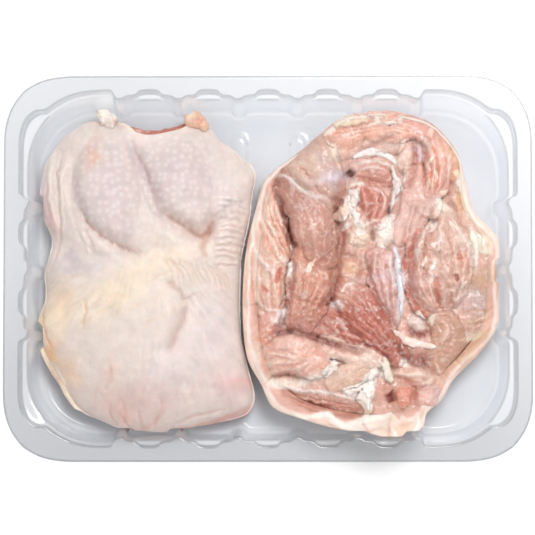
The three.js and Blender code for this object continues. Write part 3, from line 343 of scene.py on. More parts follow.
def upper_level(height, depth, more, stand, shift=SHEET):
    """A level where the bumps, pillars and lugs stand out from the wall."""
    return (height, depth, shift, SHEET, lambda s, k: pillar_inset(s, k, more, stand),
            lambda a: upper_corner(a, more))


LEVELS = [
    rim_level(43.0, 0, 29, 0.0),
    rim_level(44.3, 0.05, 29, 0.1),
    rim_level(45.0, 0.6, 28.4, SHEET),
    rim_level(45.0, 2.2, 27, SHEET),
    upper_level(45.0, 0, -1.0, 1.6, 0),
    upper_level(45.0, 0, 0, 1.8),
    upper_level(44.0, 0, 0.15, 1.8),
    upper_level(37.0, 0.2, 0.8, 1.85),
    upper_level(36.0, 0.2, 0.9, 1.85),
    (35.2, 0.22, SHEET, SHEET, low_inset, plain_corner(11.6, 9.2, 34.5)),
    (34.2, 0.25, SHEET, 0.3, lambda s, k: low_inset(s, k) + 0.1, plain_corner(11.7, 9.3, 34.4)),
    (9.0, 0.9, SHEET, 0.1, foot_inset("foot", 2.6), plain_corner(14.0, 13.6, 31.4)),
    (3.6, 1, SHEET, 0.2, foot_inset("foot", 2.7), plain_corner(14.4, 14.0, 31)),
    (0.6, 1, 0.3, SHEET, foot_inset("floor", 2.7), plain_corner(17.0, 16.6, 28)),
    (0.6, 1, 0, SHEET, lambda s, k: s["floor"] + 2 + (2.7 if k == "pillar" else 0),
     plain_corner(19, 18.6, 26)),
]


def station_place(mark, level, shift):
    height, depth, _, _, inset, corner = level
    if "angle" in mark:
        x, y, radius = corner(mark["angle"])
        return corner_place(mark["angle"], x + shift, y + shift, radius + shift)
    if mark["feature"] == "pillar":
        half = 3.25 + 0.95 * depth - 1.4 * mark["face"]
    else:
        half = (6 if mark["side"] is LONG else 6.5) - mark["face"]
    along = mark["centre"] + mark["way"] * half
    across = inset(mark["side"], mark["kind"]) - shift
    if mark["side"] is LONG:
        return np.array([along, HALF_SHORT - across])
    return np.array([HALF_LONG - across, along])


def wall_net():
    """Control places of the whole wall: levels by stations, underside first, then the inside."""
    quarter = quarter_stations()
    rows = []
    for under in (True, False):
        for level in (LEVELS[::-1] if under else LEVELS):
            shift = level[2] if under else 0
            height = level[0] - (level[3] if under else 0)
            one = np.array([station_place(mark, level, shift) for mark in quarter])
            parts = [one, one[::-1] * [1, -1], -one, one[::-1] * [-1, 1]]
            ring = np.concatenate(parts)
            rows.append(np.column_stack([ring, np.full(len(ring), height)]))
    return np.array(rows)


net = wall_net()
print("tray control net:", net.shape)


# %% [markdown]
# ## Drawing the tray
# A formed sheet has no sharp edge: the plastic stretches round every corner of its mould. So the
# net of places isn't meshed as it is. A smooth quadratic surface is drawn through it, which
# stays flat where the net is flat and rounds each fold. The floor is one more disc grid, and
# its ribs are simply places lifted by 2 mm.

# %% Tray mesh
def rounded(rows, steps, closed):
    """Places on the quadratic curve that a row of control places guides, along the first axis."""
    if closed:
        before, after = np.roll(rows, 1, 0), np.roll(rows, -1, 0)
    else:
        before = np.concatenate([rows[:1], rows[:-1]])
        after = np.concatenate([rows[1:], rows[-1:]])
    parts = []
    for step in range(steps):
        t = step / steps
        start, end = (before + rows) / 2, (rows + after) / 2
        parts.append((1 - t) ** 2 * start + 2 * t * (1 - t) * rows + t**2 * end)
    out = np.stack(parts, 1).reshape(-1, *rows.shape[1:])
    return out if closed else np.concatenate([out, rows[-1:]])


def rib_lift(x, y, narrower):
    """Moves places near a rib's flank onto its two edges, and tells how high each place lies."""
    lift = np.zeros(x.shape)
    for centre in PILLARS_LONG[:2]:
        for side in (-1, 1):
            end_y = np.clip(y, RIB["half"] - RIB["end"], RIB["end"] - RIB["half"])
            off_x, off_y = x - side * centre, y - end_y
            off = np.maximum(np.hypot(off_x, off_y), 1e-6)
            crest, foot = RIB["crest"] - narrower, RIB["half"] - narrower
            target = np.where((off > crest - 0.9) & (off < (crest + foot) / 2), crest, off)
            target = np.where((off >= (crest + foot) / 2) & (off < foot + 0.9), foot, target)
            x, y = x + off_x * (target / off - 1), y + off_y * (target / off - 1)
            lift = np.maximum(lift, RIB["rise"] * (1 - ease(target, crest, foot)))
    return x, y, lift


def fill_floor(ring, z, narrower):
    """A disc grid whose edge is the given ring of places."""
    count = len(ring) // 4 + 1
    share, _ = disc_grid(count)
    line = np.linspace(-1, 1, count)
    angle = np.arctan2(*np.meshgrid(line, line)[::-1])
    x, y = (round_rule(rim_of(angle), ring[:, axis])(angle) * share for axis in (0, 1))
    x, y, lift = rib_lift(x, y, narrower)
    return np.stack([x, y, np.where(share < 1, z + lift, z)], -1)


def tray_mesh():
    wall = rounded(rounded(net, 5, False).swapaxes(0, 1), 3, True).swapaxes(0, 1)[:, ::-1]
    turn = np.arctan2(wall[-1, :, 1] / HALF_SHORT, wall[-1, :, 0] / HALF_LONG)
    wall = np.roll(wall, -np.argmin(np.abs(turn + 3 * math.pi / 4)), axis=1)
    places, faces = [wall.reshape(-1, 3)], [tube_faces(*wall.shape[:2])]
    total = len(places[0])
    for ring, z, narrower, way in ((wall[-1], SHEET, 0, 1), (wall[0], 0.0, 0.5, -1)):
        grid = fill_floor(ring, z, narrower)
        faces.append((grid_faces(len(grid)) + total)[:, ::way])
        places.append(grid.reshape(-1, 3))
        total += len(grid) ** 2
    return make_mesh("tray_shell", np.concatenate(places), np.concatenate(faces))


tray = tray_mesh()


def tidy_mesh(made):
    """Joins places that coincide and turns every face outward."""
    import bmesh
    work = bmesh.new()
    work.from_mesh(made.data)
    bmesh.ops.remove_doubles(work, verts=work.verts, dist=0.00001)
    bmesh.ops.recalc_face_normals(work, faces=work.faces)
    loose = sum(1 for edge in work.edges if not edge.is_manifold)
    work.to_mesh(made.data)
    work.free()
    print(made.name, "open or doubled edges:", loose, "faces:", len(made.data.polygons))


tidy_mesh(tray)


def read_all(parts, what, width, kind=float):
    values = np.empty(len(parts) * width, kind)
    parts.foreach_get(what, values)
    return values.reshape(-1, width)


def mark_folds(made):
    """Stores on every place how tightly the sheet bends there, from 0 for flat to 1 for a fold."""
    mesh = made.data
    normals = read_all(mesh.vertices, "normal", 3)
    places = read_all(mesh.vertices, "co", 3)
    one, two = read_all(mesh.edges, "vertices", 2, int).T
    apart = np.linalg.norm(places[one] - places[two], axis=1) / MM
    bend = np.linalg.norm(normals[one] - normals[two], axis=1) / np.maximum(apart, 0.25)
    fold = np.zeros(len(mesh.vertices))
    np.maximum.at(fold, one, bend)
    np.maximum.at(fold, two, bend)
    fold = ease(fold, 0.5, 1.5) * ease(places[:, 2], 0.003, 0.005)
    mesh.attributes.new("fold", "FLOAT", "POINT").data.foreach_set("value", fold)
    print("places in a fold:", int((fold > 0.5).sum()), "of", len(fold))


mark_folds(tray)

# %% [markdown]
# ## Clear plastic
# Thin clear plastic shows as pale reflections and as greyer lines where it folds. Here the greyer
# fold lines are painted shade in the tint. The sheet is so thin that it hardly bends what lies
# behind it, so a tinted see-through shader with a gloss on top is closer than solid glass. Where
# the sheet turns away from the eye, it is tinted more. The tint also carries painted shade,
# darker toward the near side, and painted light, brighter toward the right.
# Every material here is wired with the same few helpers, which are made first.

# %% Wiring helpers
def new_material(name):
    made = bpy.data.materials.new(name)
    made.use_nodes = True
    made.node_tree.nodes.clear()
    return made


def add_node(tree, kind, values=None, **settings):
    """A node with its settings, and plain values or links for its inputs."""
    node = tree.nodes.new(kind)
    for key, value in settings.items():
        setattr(node, key, value)
    for key, value in (values or {}).items():
        if isinstance(value, bpy.types.NodeSocket):
            tree.links.new(value, node.inputs[key])
        else:
            node.inputs[key].default_value = value
    return node


class Wiring:
    """Adds nodes to a tree. Each call gives back the output that the next node takes."""

    def __init__(self, tree):
        self.tree = tree

    def add(self, kind, values=None, out=0, **settings):
        return add_node(self.tree, kind, values, **settings).outputs[out]

    def span(self, value, low, high, start=0.0, end=1.0, **settings):
        """Low where the value is at start, high where it is at end, and even between."""
        return self.add("ShaderNodeMapRange", {
            "Value": value, "From Min": start, "From Max": end, "To Min": low, "To Max": high}, **settings)

    def math(self, operation, *values):
        return self.add("ShaderNodeMath", dict(enumerate(values)), operation=operation)

    def scaled(self, colour, factor):
        return self.add("ShaderNodeVectorMath", {0: colour, "Scale": factor}, operation="SCALE")

    def stretched(self, place, factors):
        return self.add("ShaderNodeVectorMath", {0: place, 1: factors}, operation="MULTIPLY")

    def blend(self, share, under, over):
        return self.add("ShaderNodeMix", {0: share, 6: under, 7: over}, 2, data_type="RGBA")

    def mix(self, share, one, two):
        return self.add("ShaderNodeMixShader", {0: share, 1: one, 2: two})

    def noise(self, place, scale, detail, **more):
        return self.add("ShaderNodeTexNoise", {"Vector": place, "Scale": scale, "Detail": detail, **more})

    def spots(self, place, seed, rate, scatter):
        """Distance to the nearest of many scattered spots, seen nearly from above."""
        flat = self.stretched(place, (1, 1, 0.35))
        moved = self.add("ShaderNodeVectorMath", {0: flat, 1: seed}, operation="ADD")
        return self.add("ShaderNodeTexVoronoi", {"Vector": moved, "Scale": rate, "Randomness": scatter},
                        "Distance", voronoi_dimensions="2D")

    def kept(self, name, out="Color"):
        """A value that the mesh carries."""
        return self.add("ShaderNodeAttribute", out=out, attribute_name=name)

    def place(self):
        return self.add("ShaderNodeTexCoord", out="Object")

    def finish(self, surface):
        add_node(self.tree, "ShaderNodeOutputMaterial", {"Surface": surface})


# %% Tray material
def clear_plastic():
    """A tinted see-through sheet, a little milky, with a gloss. Its tint carries painted shade,
    darker toward the near side and along folds, and painted light, brighter toward the right.
    """
    made = new_material("clear_plastic")
    wires = Wiring(made.node_tree)
    steep = wires.math("POWER", wires.add("ShaderNodeLayerWeight", {"Blend": 0.5}, "Facing"), 5.0)
    place = wires.place()
    x, y, z = add_node(wires.tree, "ShaderNodeSeparateXYZ", {0: place}).outputs
    fold = wires.kept("fold", "Fac")
    # The rim is tinted more, for its thicker sheet, and more still toward the near side, which is painted
    # shade.
    rim = wires.span(z, 1.0, wires.span(y, 0.82, 0.912, -0.095, 0.0), 0.030, 0.044)
    # Painted shade: the floor and the wall are darker toward the near side.
    floor_painted_shade = wires.span(y, 0.945, 0.975, -0.08, 0.03)
    wall_painted_shade = wires.span(y, 0.985, 1.03, -0.08, 0.08)
    tone = wires.math("MULTIPLY", rim, wires.span(z, floor_painted_shade, wall_painted_shade, 0.001, 0.012))
    # Painted light: brighter toward the right, where the key light stands.
    tone = wires.math("MULTIPLY", tone, wires.span(x, 0.99, 1.06, -0.10, 0.12))
    # Painted shade: greyer along the folds, in place of the light that a fold bends away.
    tone = wires.math("MULTIPLY", tone, wires.span(fold, 1.0, 0.72))
    tint = wires.blend(steep, (0.915, 0.922, 0.935, 1), (0.66, 0.68, 0.71, 1))
    through = wires.add("ShaderNodeBsdfTransparent", {"Color": wires.scaled(tint, tone)})
    milk = wires.add("ShaderNodeBsdfDiffuse", {"Color": (0.80, 0.82, 0.86, 1)})
    body = wires.mix(wires.span(wires.noise(place, 25, 2), 0.035, 0.075), through, milk)
    shine = wires.add("ShaderNodeBsdfGlossy", {"Color": (1, 1, 1, 1), "Roughness": 0.12})
    glint = wires.math("MULTIPLY_ADD", fold, 0.10, wires.span(steep, 0.035, 0.45))
    lit = wires.add("ShaderNodeBsdfTransparent", {"Color": (0.955, 0.96, 0.965, 1)})
    shadow = wires.add("ShaderNodeLightPath", out="Is Shadow Ray")
    wires.finish(wires.mix(shadow, wires.mix(glint, body, shine), lit))
    return made


tray.data.materials.append(clear_plastic())
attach(tray, "root")
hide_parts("tray")

# %% [markdown]
# ## Left leg: the shape under the skin
# Seen from above, the leg is a rounded oblong with a waist on its left. Two plump lobes lie
# under the skin at the far end, with deep creases round them, and the near end is one smooth
# swell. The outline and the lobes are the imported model's, and the small folds are added here.

# %% Left leg shape
LEFT_CENTRE = (-63, -3)
LEFT_OUTLINE = [
    (-102.6, 68.2), (-91.2, 75.2), (-79.7, 75.7), (-68.7, 74.2), (-58.7, 72.2), (-49.8, 73.2),
    (-38.8, 76.2), (-31.3, 74.2), (-23.8, 66.2), (-14.8, 59.2), (-7.4, 49.2), (-8.6, 37.7),
    (-10.3, 24.8), (-13.6, 9.8), (-14.8, -10.2), (-14.1, -30.1), (-11.3, -46.1), (-7.8, -62.6),
    (-11.3, -70.1), (-21.3, -74), (-36.3, -77.6), (-53.7, -80.2), (-71.2, -78.4),
    (-84.7, -74), (-95.7, -66.6), (-103.6, -54.1), (-112.6, -37.6), (-114.6, -22.7),
    (-111.1, -13.2), (-111.6, 0.8), (-108.1, 14.8), (-112.6, 27.2), (-114.2, 39.7), (-111.6, 54.2),
]
LEFT_LOBES = [
    (-81.2, 38.1, 31, 17.5, 92, 6),
    (-46.4, 45, 28, 17.5, 108, 6),
    (-19.5, 24, 21, 9, 96, 2.5),
    (-62, -42, 34, 26, 70, 2),
]
# Half width, depth, and the places that a crease passes through.
LEFT_CREASES = [
    (3.6, 5, [(-96.8, 56), (-98, 43.5), (-94.5, 31.6), (-90.1, 23.7)]),
    (4, 6, [(-90.1, 23.7), (-83, 18), (-75.4, 13.3), (-66.3, 8.8)]),
    (4, 3, [(-66.3, 8.8), (-59, 9), (-52.9, 11.3)]),
    (3.6, 4.5, [(-68.8, 66), (-64.5, 54), (-59.8, 43.5), (-52.9, 28.1)]),
    (4, 6, [(-52.9, 28.1), (-39.5, 20.2), (-31.6, 16.7), (-27.1, 25.7)]),
    (5, 1.8, [(-48.4, -6.6), (-40.5, -14.5), (-44, -27.9), (-48.4, -38.3)]),
    (3.6, 1.6, [(-103.5, 58.9), (-104.5, 34.1), (-101, 6.8)]),
    (4.5, 2.2, [(-101, 8), (-98, 3), (-92, -2)]),
]
FOOD_BASE = 3.0
SKIN = 2.2
LEFT_SIDE, LEFT_TOP = 10.0, 27.0


def outline_radius(outline, centre):
    """Radius of a smooth closed outline as a rule of the angle."""
    curve = smooth_curve(outline, 720, closed=True) - centre
    rule = round_rule(np.arctan2(curve[:, 1], curve[:, 0]), np.hypot(curve[:, 0], curve[:, 1]))
    return lambda angle: rule(np.arctan2(np.sin(angle), np.cos(angle)))


left_radius = outline_radius(LEFT_OUTLINE, LEFT_CENTRE)
left_crease_paths = [(half, 0.55 * deep, smooth_curve(knots, 12)) for half, deep, knots in LEFT_CREASES]


def left_top(x, y, fine=True):
    """Height of the left leg's upper side."""
    cx, cy = LEFT_CENTRE
    share = np.minimum(np.hypot(x - cx, y - cy) / left_radius(np.arctan2(y - cy, x - cx)), 1)
    dome = np.maximum(1 - share**2.6, 0) ** 0.62
    rise = np.zeros(x.shape)
    for lx, ly, long, wide, turn, height in LEFT_LOBES:
        off = np.hypot(*in_ellipse(x - lx, y - ly, long, wide, turn))
        rise = np.maximum(rise, height * np.maximum(1 - off**2.4, 0))
    fall = np.zeros(x.shape)
    for half, deep, path in left_crease_paths:
        off = follow(path, x, y)[0]
        fall = np.maximum(fall, deep * np.exp(-(off / half) ** 2))
    height = LEFT_SIDE + (LEFT_TOP - LEFT_SIDE) * dome + (rise - fall) * (1 - share**6)
    if fine:
        height = height + left_folds(x, y) * (1 - share**8)
    return np.maximum(height, FOOD_BASE + 5)


def left_folds(x, y):
    """Slight unevenness all over the skin, in mm."""
    slack = 0.45 * cloud(x, y, 17, 3) + 0.2 * cloud(x, y, 7, 5)
    return slack + 0.14 * cloud(x * 0.45 + y * 0.25, y - x * 0.25, 3.2, 9) + 0.36 * left_wrinkles(x, y)


def left_wrinkles(x, y):
    """Fine wrinkles of the near half, which fan out from the crease toward the edge."""
    fan_x, fan_y = x + 62, y - 25
    reach = np.hypot(fan_x, fan_y)
    turn = np.arctan2(fan_y, fan_x) * 60
    strength = ease(-y, -12, 20) * (0.6 + 0.4 * cloud(x, y, 15, 35))
    return cloud(turn + 0.8 * cloud(x, y, 6, 36), reach * 0.16, 1.5, 37, 3) * strength


# %% The turned-under side and the bare edge
LEFT_TURN = 0.86
LEFT_UNDER = 5.0
LOOSE_CORNER = math.radians(-132)
# From angle, to angle, and how far the skin reaches there, where red meat shows at the edge.
LEFT_BARE = [(74, 94, 0.70), (2, 35, 0.9)]


def left_cover(angle):
    turned = turned_degrees(angle)
    cover = np.ones(angle.shape)
    for start, end, share in LEFT_BARE:
        inside = ease(turned, start - 7, start + 2) * (1 - ease(turned, end - 2, end + 7))
        cover = np.minimum(cover, 1 + (share - 1) * inside)
    return cover


def wall_half(z):
    """Half sizes of the space inside the wall at each height."""
    levels = [0.6, 4, 35.2, 45]
    long, short = (np.interp(z, levels, [side["floor"], side["foot"], side["panel"] + 1, side["panel"]])
                   for side in (LONG, SHORT))
    return HALF_LONG - short - 0.7, HALF_SHORT - long - 0.7


def pillar_stand(centres, along, z):
    stand = np.zeros(along.shape)
    for centre in centres:
        off = np.abs(np.abs(along) - centre)
        stand = np.maximum(stand, (3.0 - 0.9 * z / HEIGHT) * (1 - ease(off, 4.6, 7.6)))
    return stand


WALL_CORNER = 31


def inside_tray(x, y, z):
    """Places of the food, kept inside the wall at their height."""
    half_x, half_y = wall_half(z)
    px = np.minimum(np.abs(x), half_x - pillar_stand(PILLARS_SHORT, y, z))
    py = np.minimum(np.abs(y), half_y - pillar_stand(PILLARS_LONG, x, z))
    off_x, off_y = px - (half_x - WALL_CORNER), py - (half_y - WALL_CORNER)
    reach = np.hypot(off_x, off_y)
    out = (off_x > 0) & (off_y > 0) & (reach > WALL_CORNER)
    shrink = np.where(out, WALL_CORNER / np.maximum(reach, 1e-6), 1)
    px = np.where(out, half_x - WALL_CORNER + off_x * shrink, px)
    py = np.where(out, half_y - WALL_CORNER + off_y * shrink, py)
    return np.stack([np.sign(x) * px, np.sign(y) * py, z], -1)


def left_shape(angle, along, fine=True):
    """Places of the left leg's outside, from the top's middle over the side to the underside."""
    waver = cloud(30 * np.cos(angle), 30 * np.sin(angle), 5, 33, 3)
    spread = 0.016 * ease(-np.cos(angle), 0.3, 0.9) + 0.014 * ease(np.cos(angle), 0.3, 0.9)
    near_corner = 0.028 * ease(np.cos(angle - LOOSE_CORNER), 0.88, 1.0)
    radius = left_radius(angle) * (0.998 + 0.010 * waver + spread + near_corner)
    share = np.clip(along / LEFT_TURN, 0, 1)
    turn = np.clip((along - LEFT_TURN) / (1 - LEFT_TURN), 0, 1) * math.pi / 2
    inward = np.maximum(1 - np.maximum(along - 1, 0) / 1.2, 0)
    reach = np.where(along <= LEFT_TURN, radius * np.sin(share * math.pi / 2) ** 0.9,
                     (radius - LEFT_UNDER * (1 - np.cos(turn))) * inward)
    x, y = out_from(LEFT_CENTRE, reach, angle)
    side = LEFT_SIDE + (FOOD_BASE - LEFT_SIDE) * np.sin(turn)
    z = np.where(along <= LEFT_TURN, left_top(x, y, fine), side)
    return inside_tray(x, y, z)


def left_plain(angle, along):
    return left_shape(angle, along, fine=False)


def shape_normal(shape, angle, along):
    """Outward direction of a shape, from places a small step away."""
    round_way = shape(angle + 0.01, along) - shape(angle - 0.01, along)
    down_way = shape(angle, along + 0.004) - shape(angle, np.maximum(along - 0.004, 0.0005))
    normal = np.cross(down_way, round_way)
    return normal / np.maximum(np.linalg.norm(normal, axis=-1, keepdims=True), 1e-9)


# %% [markdown]
# ## Colours of the skin
# Raw skin isn't one colour. It is cream where fat lies under it, lavender where it is thin and
# wet over meat, orange where there is yellow fat, and pink along its wrinkles. Its sunk creases
# and wrinkles are also drawn darker, which is painted shade, and its raised folds paler, which
# is painted highlight. Each patch is a soft ellipse of colour over a cream ground, and the result
# is kept on the mesh as "tint".

# %% Patches and lines on a plan
# A plan is the place of its far left corner in mm and the size of its unit in mm.
LEFT_PLAN = (-120.4, 88.7, 0.1123)
RIGHT_PLAN = (-15.8, 84.1, 0.1109)


def on_plan(plan, knots):
    """Places in mm of knots, written right, down, right, down from a plan's far left corner."""
    right, down = np.reshape(knots, (-1, 2)).T
    return np.stack([plan[0] + plan[2] * right, plan[1] - plan[2] * down], 1)


def drift(x, y, seed, wide=1.6, fine=0.6):
    """The places, pushed about a little, so that what is drawn on them gets uneven edges."""
    return (x + wide * cloud(x, y, 8, seed) + fine * cloud(x, y, 2.6, seed + 1),
            y + wide * cloud(x, y, 8, seed + 2) + fine * cloud(x, y, 2.6, seed + 3))


def laid(colour, tone, share):
    """A colour with some of another tone laid over it."""
    share = share[..., None]
    return colour * (1 - share) + linear(tone) * share


def paint(colour, x, y, plan, patches, seed):
    """Lays soft ellipses of colour. Each: place on the plan, half sizes in mm, turn, colour, strength."""
    drift_x, drift_y = drift(x, y, seed, 2.4, 1.0)
    for u, v, long, wide, turn, tone, strength in patches:
        (px, py), = on_plan(plan, (u, v))
        a, b = in_ellipse(drift_x - px, drift_y - py, long, wide, turn)
        colour = laid(colour, tone, strength * np.exp(-(a**2 + b**2) * 1.3))
    return colour


def draw(height, colour, x, y, plan, lines, seed):
    """Raises or sinks soft lines and colours them. Each: half width, lift, colour, strength, knots."""
    drift_x, drift_y = drift(x, y, seed, 0.5, 0.45)
    for half, lift, tone, strength, knots in lines:
        path = smooth_curve(on_plan(plan, knots), 10)
        low, high = path.min(0) - 3 * half, path.max(0) + 3 * half
        near = (x > low[0]) & (x < high[0]) & (y > low[1]) & (y < high[1])
        if not near.any():
            continue
        off, _, along, _ = follow(path, drift_x[near], drift_y[near])
        run = np.hypot(*np.diff(path, axis=0).T).sum()
        end = ease(along, 0, 0.2 * run) * (1 - ease(along, 0.8 * run, run))
        weight = np.exp(-(off / half) ** 2) * (0.25 + 0.75 * end)
        height[near] += lift * weight
        colour[near] = laid(colour[near], tone, strength * weight)
    return height, colour


def ground(tone, x):
    return np.broadcast_to(linear(tone), x.shape + (3,)).copy()


CREAM = (220, 206, 198)
LAVENDER = (200, 183, 185)
LEFT_PATCHES = [
    (370, 430, 26, 15, 80, LAVENDER, 0.85), (700, 380, 24, 20, 120, LAVENDER, 0.8),
    (560, 400, 17, 6, 112, (204, 187, 188), 0.75), (430, 600, 13, 8, 160, (208, 191, 190), 0.7),
    (300, 430, 8, 15, 10, (214, 200, 198), 0.5), (910, 470, 12, 18, 90, (222, 206, 204), 0.6),
    (285, 280, 9, 4, 70, (222, 170, 146), 0.6), (120, 560, 9, 2.2, 100, (222, 160, 156), 0.6),
    (60, 440, 12, 3, 90, (222, 206, 210), 0.6), (200, 750, 8, 5, 130, (196, 184, 190), 0.7),
    (330, 760, 12, 7, 0, (216, 206, 208), 0.5), (620, 740, 20, 8, 20, (236, 218, 196), 0.6),
    (400, 880, 26, 11, 30, (234, 216, 190), 0.7), (800, 620, 6, 5, 60, (196, 156, 140), 0.5),
    (700, 590, 10, 4, -20, (206, 178, 170), 0.5), (140, 960, 14, 8, 80, (234, 206, 172), 0.7),
    (105, 1040, 9, 7, 100, (242, 222, 200), 0.7), (110, 1148, 7, 5, 110, (240, 186, 132), 0.9),
    (75, 1160, 3, 9, 10, (244, 224, 200), 0.6), (140, 1290, 12, 4, 122, (242, 222, 196), 0.7),
    # The first patch on the next line is painted light: it lightens the left edge, which the key light
    # leaves in shade.
    (60, 700, 5, 20, 92, (238, 222, 212), 0.6), (190, 1240, 10, 6, 110, (234, 194, 160), 0.6),
    (150, 1330, 13, 5, 118, (232, 204, 176), 0.6), (380, 1240, 7, 4, 90, (226, 186, 168), 0.5),
    (520, 1360, 22, 10, 0, (220, 184, 178), 0.6), (430, 1430, 14, 6, 150, (224, 180, 166), 0.5),
    (900, 1290, 12, 14, 90, (222, 190, 190), 0.6), (960, 1440, 9, 4, 20, (214, 164, 158), 0.6),
    (972, 1280, 4, 9, 95, (220, 166, 162), 0.6), (48, 1000, 4, 12, 95, (246, 226, 202), 0.8),
    (880, 1480, 14, 3, 12, (216, 160, 148), 0.6), (850, 1050, 18, 12, 90, (220, 205, 208), 0.6),
    (640, 1200, 18, 14, 90, (226, 210, 210), 0.6), (420, 110, 18, 3, 0, (226, 178, 164), 0.6),
]
SHADE = (198, 178, 178)
# Lines on the skin, with the rows of wrinkles added below: the sunk lines mostly carry darker colours,
# painted shade in the creases, and the raised lines paler ones, painted highlights on the folds.
LEFT_LINES = [
    (1.6, -1, (206, 184, 180), 0.5, [225, 480, 265, 560, 320, 620, 390, 665, 460, 700, 520, 715]),
    (2.6, -0.8, SHADE, 0.4, [190, 300, 200, 380, 225, 480, 265, 560]),
    (2.4, -0.8, SHADE, 0.5, [420, 190, 460, 240, 500, 320, 545, 400, 580, 480, 610, 550]),
    (2.2, -0.7, (206, 176, 168), 0.5, [610, 550, 660, 580, 720, 610, 790, 630, 815, 590, 830, 520]),
    (0.9, -0.8, (178, 128, 106), 0.6, [740, 620, 785, 640, 812, 600, 825, 550]),
    (1.4, -0.8, (192, 148, 130), 0.6, [795, 640, 785, 690, 800, 745]),
    (1, -1.2, (190, 158, 148), 0.6, [706, 935, 698, 990, 668, 1070, 630, 1150]),
    (2.4, -0.9, (212, 188, 180), 0.4, [700, 940, 690, 1000, 660, 1080, 625, 1170]),
    (0.7, -0.7, (178, 128, 104), 0.75,
     [238, 520, 259, 551, 286, 595, 342, 639, 397, 667, 463, 700, 508, 706]),
    (0.8, -0.5, (192, 166, 162), 0.6,
     [463, 209, 497, 286, 535, 363, 552, 441, 574, 507, 596, 551, 624, 573]),
    (0.8, -0.6, (186, 140, 118), 0.7,
     [596, 518, 640, 551, 684, 584, 729, 617, 773, 631, 811, 617, 822, 573]),
    (0.7, 0.5, (240, 226, 218), 0.6, [104, 230, 93, 330, 88, 440, 98, 550, 132, 640]),
    (0.6, -0.6, (216, 172, 164), 0.6, [66, 420, 70, 510, 98, 600]),
    (1, -0.4, (216, 148, 126), 0.6, [508, 1500, 596, 1516, 684, 1490, 795, 1466, 905, 1432, 990, 1391]),
    (0.8, 0.5, (240, 216, 196), 0.6,
     [386, 110, 463, 152, 510, 140, 552, 158, 618, 152, 684, 124, 730, 116, 790, 136]),
    (1.3, -1.2, (196, 164, 152), 0.5, [620, 830, 680, 890, 700, 935]),
    (1, -0.9, (206, 180, 168), 0.5, [745, 895, 715, 915, 692, 920]),
    (1.2, 0.8, (240, 226, 214), 0.5, [120, 210, 100, 330, 95, 450, 120, 560, 132, 640]),
    (0.9, -1.1, (214, 168, 160), 0.6, [88, 380, 84, 470, 100, 560, 122, 640]),
    (0.9, -0.9, (208, 182, 172), 0.5, [150, 240, 132, 360, 142, 480, 150, 600, 128, 720, 90, 800]),
    (0.8, 0.5, (242, 228, 214), 0.5, [170, 300, 150, 400, 158, 520, 160, 640]),
    (0.7, -0.7, (208, 186, 178), 0.5, [262, 600, 280, 650, 305, 695]),
    (0.7, 0.5, (240, 226, 216), 0.5, [240, 610, 262, 660, 290, 715]),
    (0.7, -0.8, (222, 178, 134), 0.6, [256, 925, 262, 980, 250, 1045]),
    (0.9, 0.9, (246, 228, 208), 0.8, [92, 1175, 140, 1250, 182, 1340, 236, 1430, 320, 1476, 420, 1492]),
    (1.1, -1.4, (206, 160, 130), 0.7, [72, 1180, 116, 1262, 160, 1352, 212, 1442, 290, 1490]),
    (0.9, 0.7, (244, 214, 176), 0.6, [30, 960, 22, 1020, 34, 1090, 66, 1150]),
    (0.8, -0.8, (222, 168, 120), 0.6, [80, 930, 70, 1000, 84, 1080, 110, 1130]),
    (0.6, -0.5, (214, 168, 148), 0.5, [420, 1420, 440, 1470, 470, 1500]),
    (0.6, -0.5, (214, 168, 148), 0.5, [500, 1400, 505, 1450, 520, 1500]),
    (0.6, -0.5, (216, 172, 156), 0.5, [360, 1400, 372, 1440, 400, 1480]),
    (0.6, -0.5, (216, 172, 156), 0.5, [580, 1410, 575, 1460, 560, 1500]),
    (1.2, -0.6, (216, 168, 160), 0.4, [460, 1500, 560, 1470, 600, 1400, 590, 1320]),
    (1, -0.5, (216, 168, 160), 0.4, [420, 1490, 440, 1420, 410, 1350]),
    (1, -0.5, (218, 174, 166), 0.4, [640, 1480, 720, 1440, 800, 1420, 900, 1400]),
    (1.2, -0.7, (216, 164, 156), 0.45, [760, 1500, 860, 1470, 960, 1430, 1000, 1390]),
    (1, -0.7, (212, 176, 170), 0.4, [330, 1330, 370, 1270, 375, 1200]),
]
wrinkle_random = np.random.default_rng(7)
for step in range(11):
    down = 470 + 29 * step
    sway = wrinkle_random.uniform(-8, 8, 4)
    LEFT_LINES.append((0.7, -0.75, (212, 184, 176), 0.4, [
        835, down + 10 + sway[0], 880, down + sway[1], 930, down + 4 + sway[2], 985, down + 16 + sway[3]]))
    LEFT_LINES.append((0.7, 0.45, (238, 222, 214), 0.35, [
        840, down - 4 + sway[0], 890, down - 14 + sway[1], 940, down - 10 + sway[2]]))
for step in range(12):
    start = 590 + 24 * step
    sway = wrinkle_random.uniform(-10, 10, 4)
    LEFT_LINES.append((0.75, -0.7, (216, 186, 166), 0.4, [
        start + sway[0], 725 + 4 * step, start + 40 + sway[1], 775 + 4 * step,
        start + 66 + sway[2], 850 + 3 * step]))
for step in range(16):
    u, v = wrinkle_random.uniform(150, 640), wrinkle_random.uniform(820, 1060)
    LEFT_LINES.append((0.8, -0.3, (226, 202, 176), 0.35, [u, v, u + 45, v - 34, u + 95, v - 52]))
for step in range(26):
    u, v = wrinkle_random.uniform(300, 920), wrinkle_random.uniform(1230, 1470)
    lean = wrinkle_random.uniform(-25, 25)
    LEFT_LINES.append((0.8, -0.25, (220, 188, 182), 0.3, [u, v, u + lean, v + 40, u + 1.5 * lean, v + 80]))


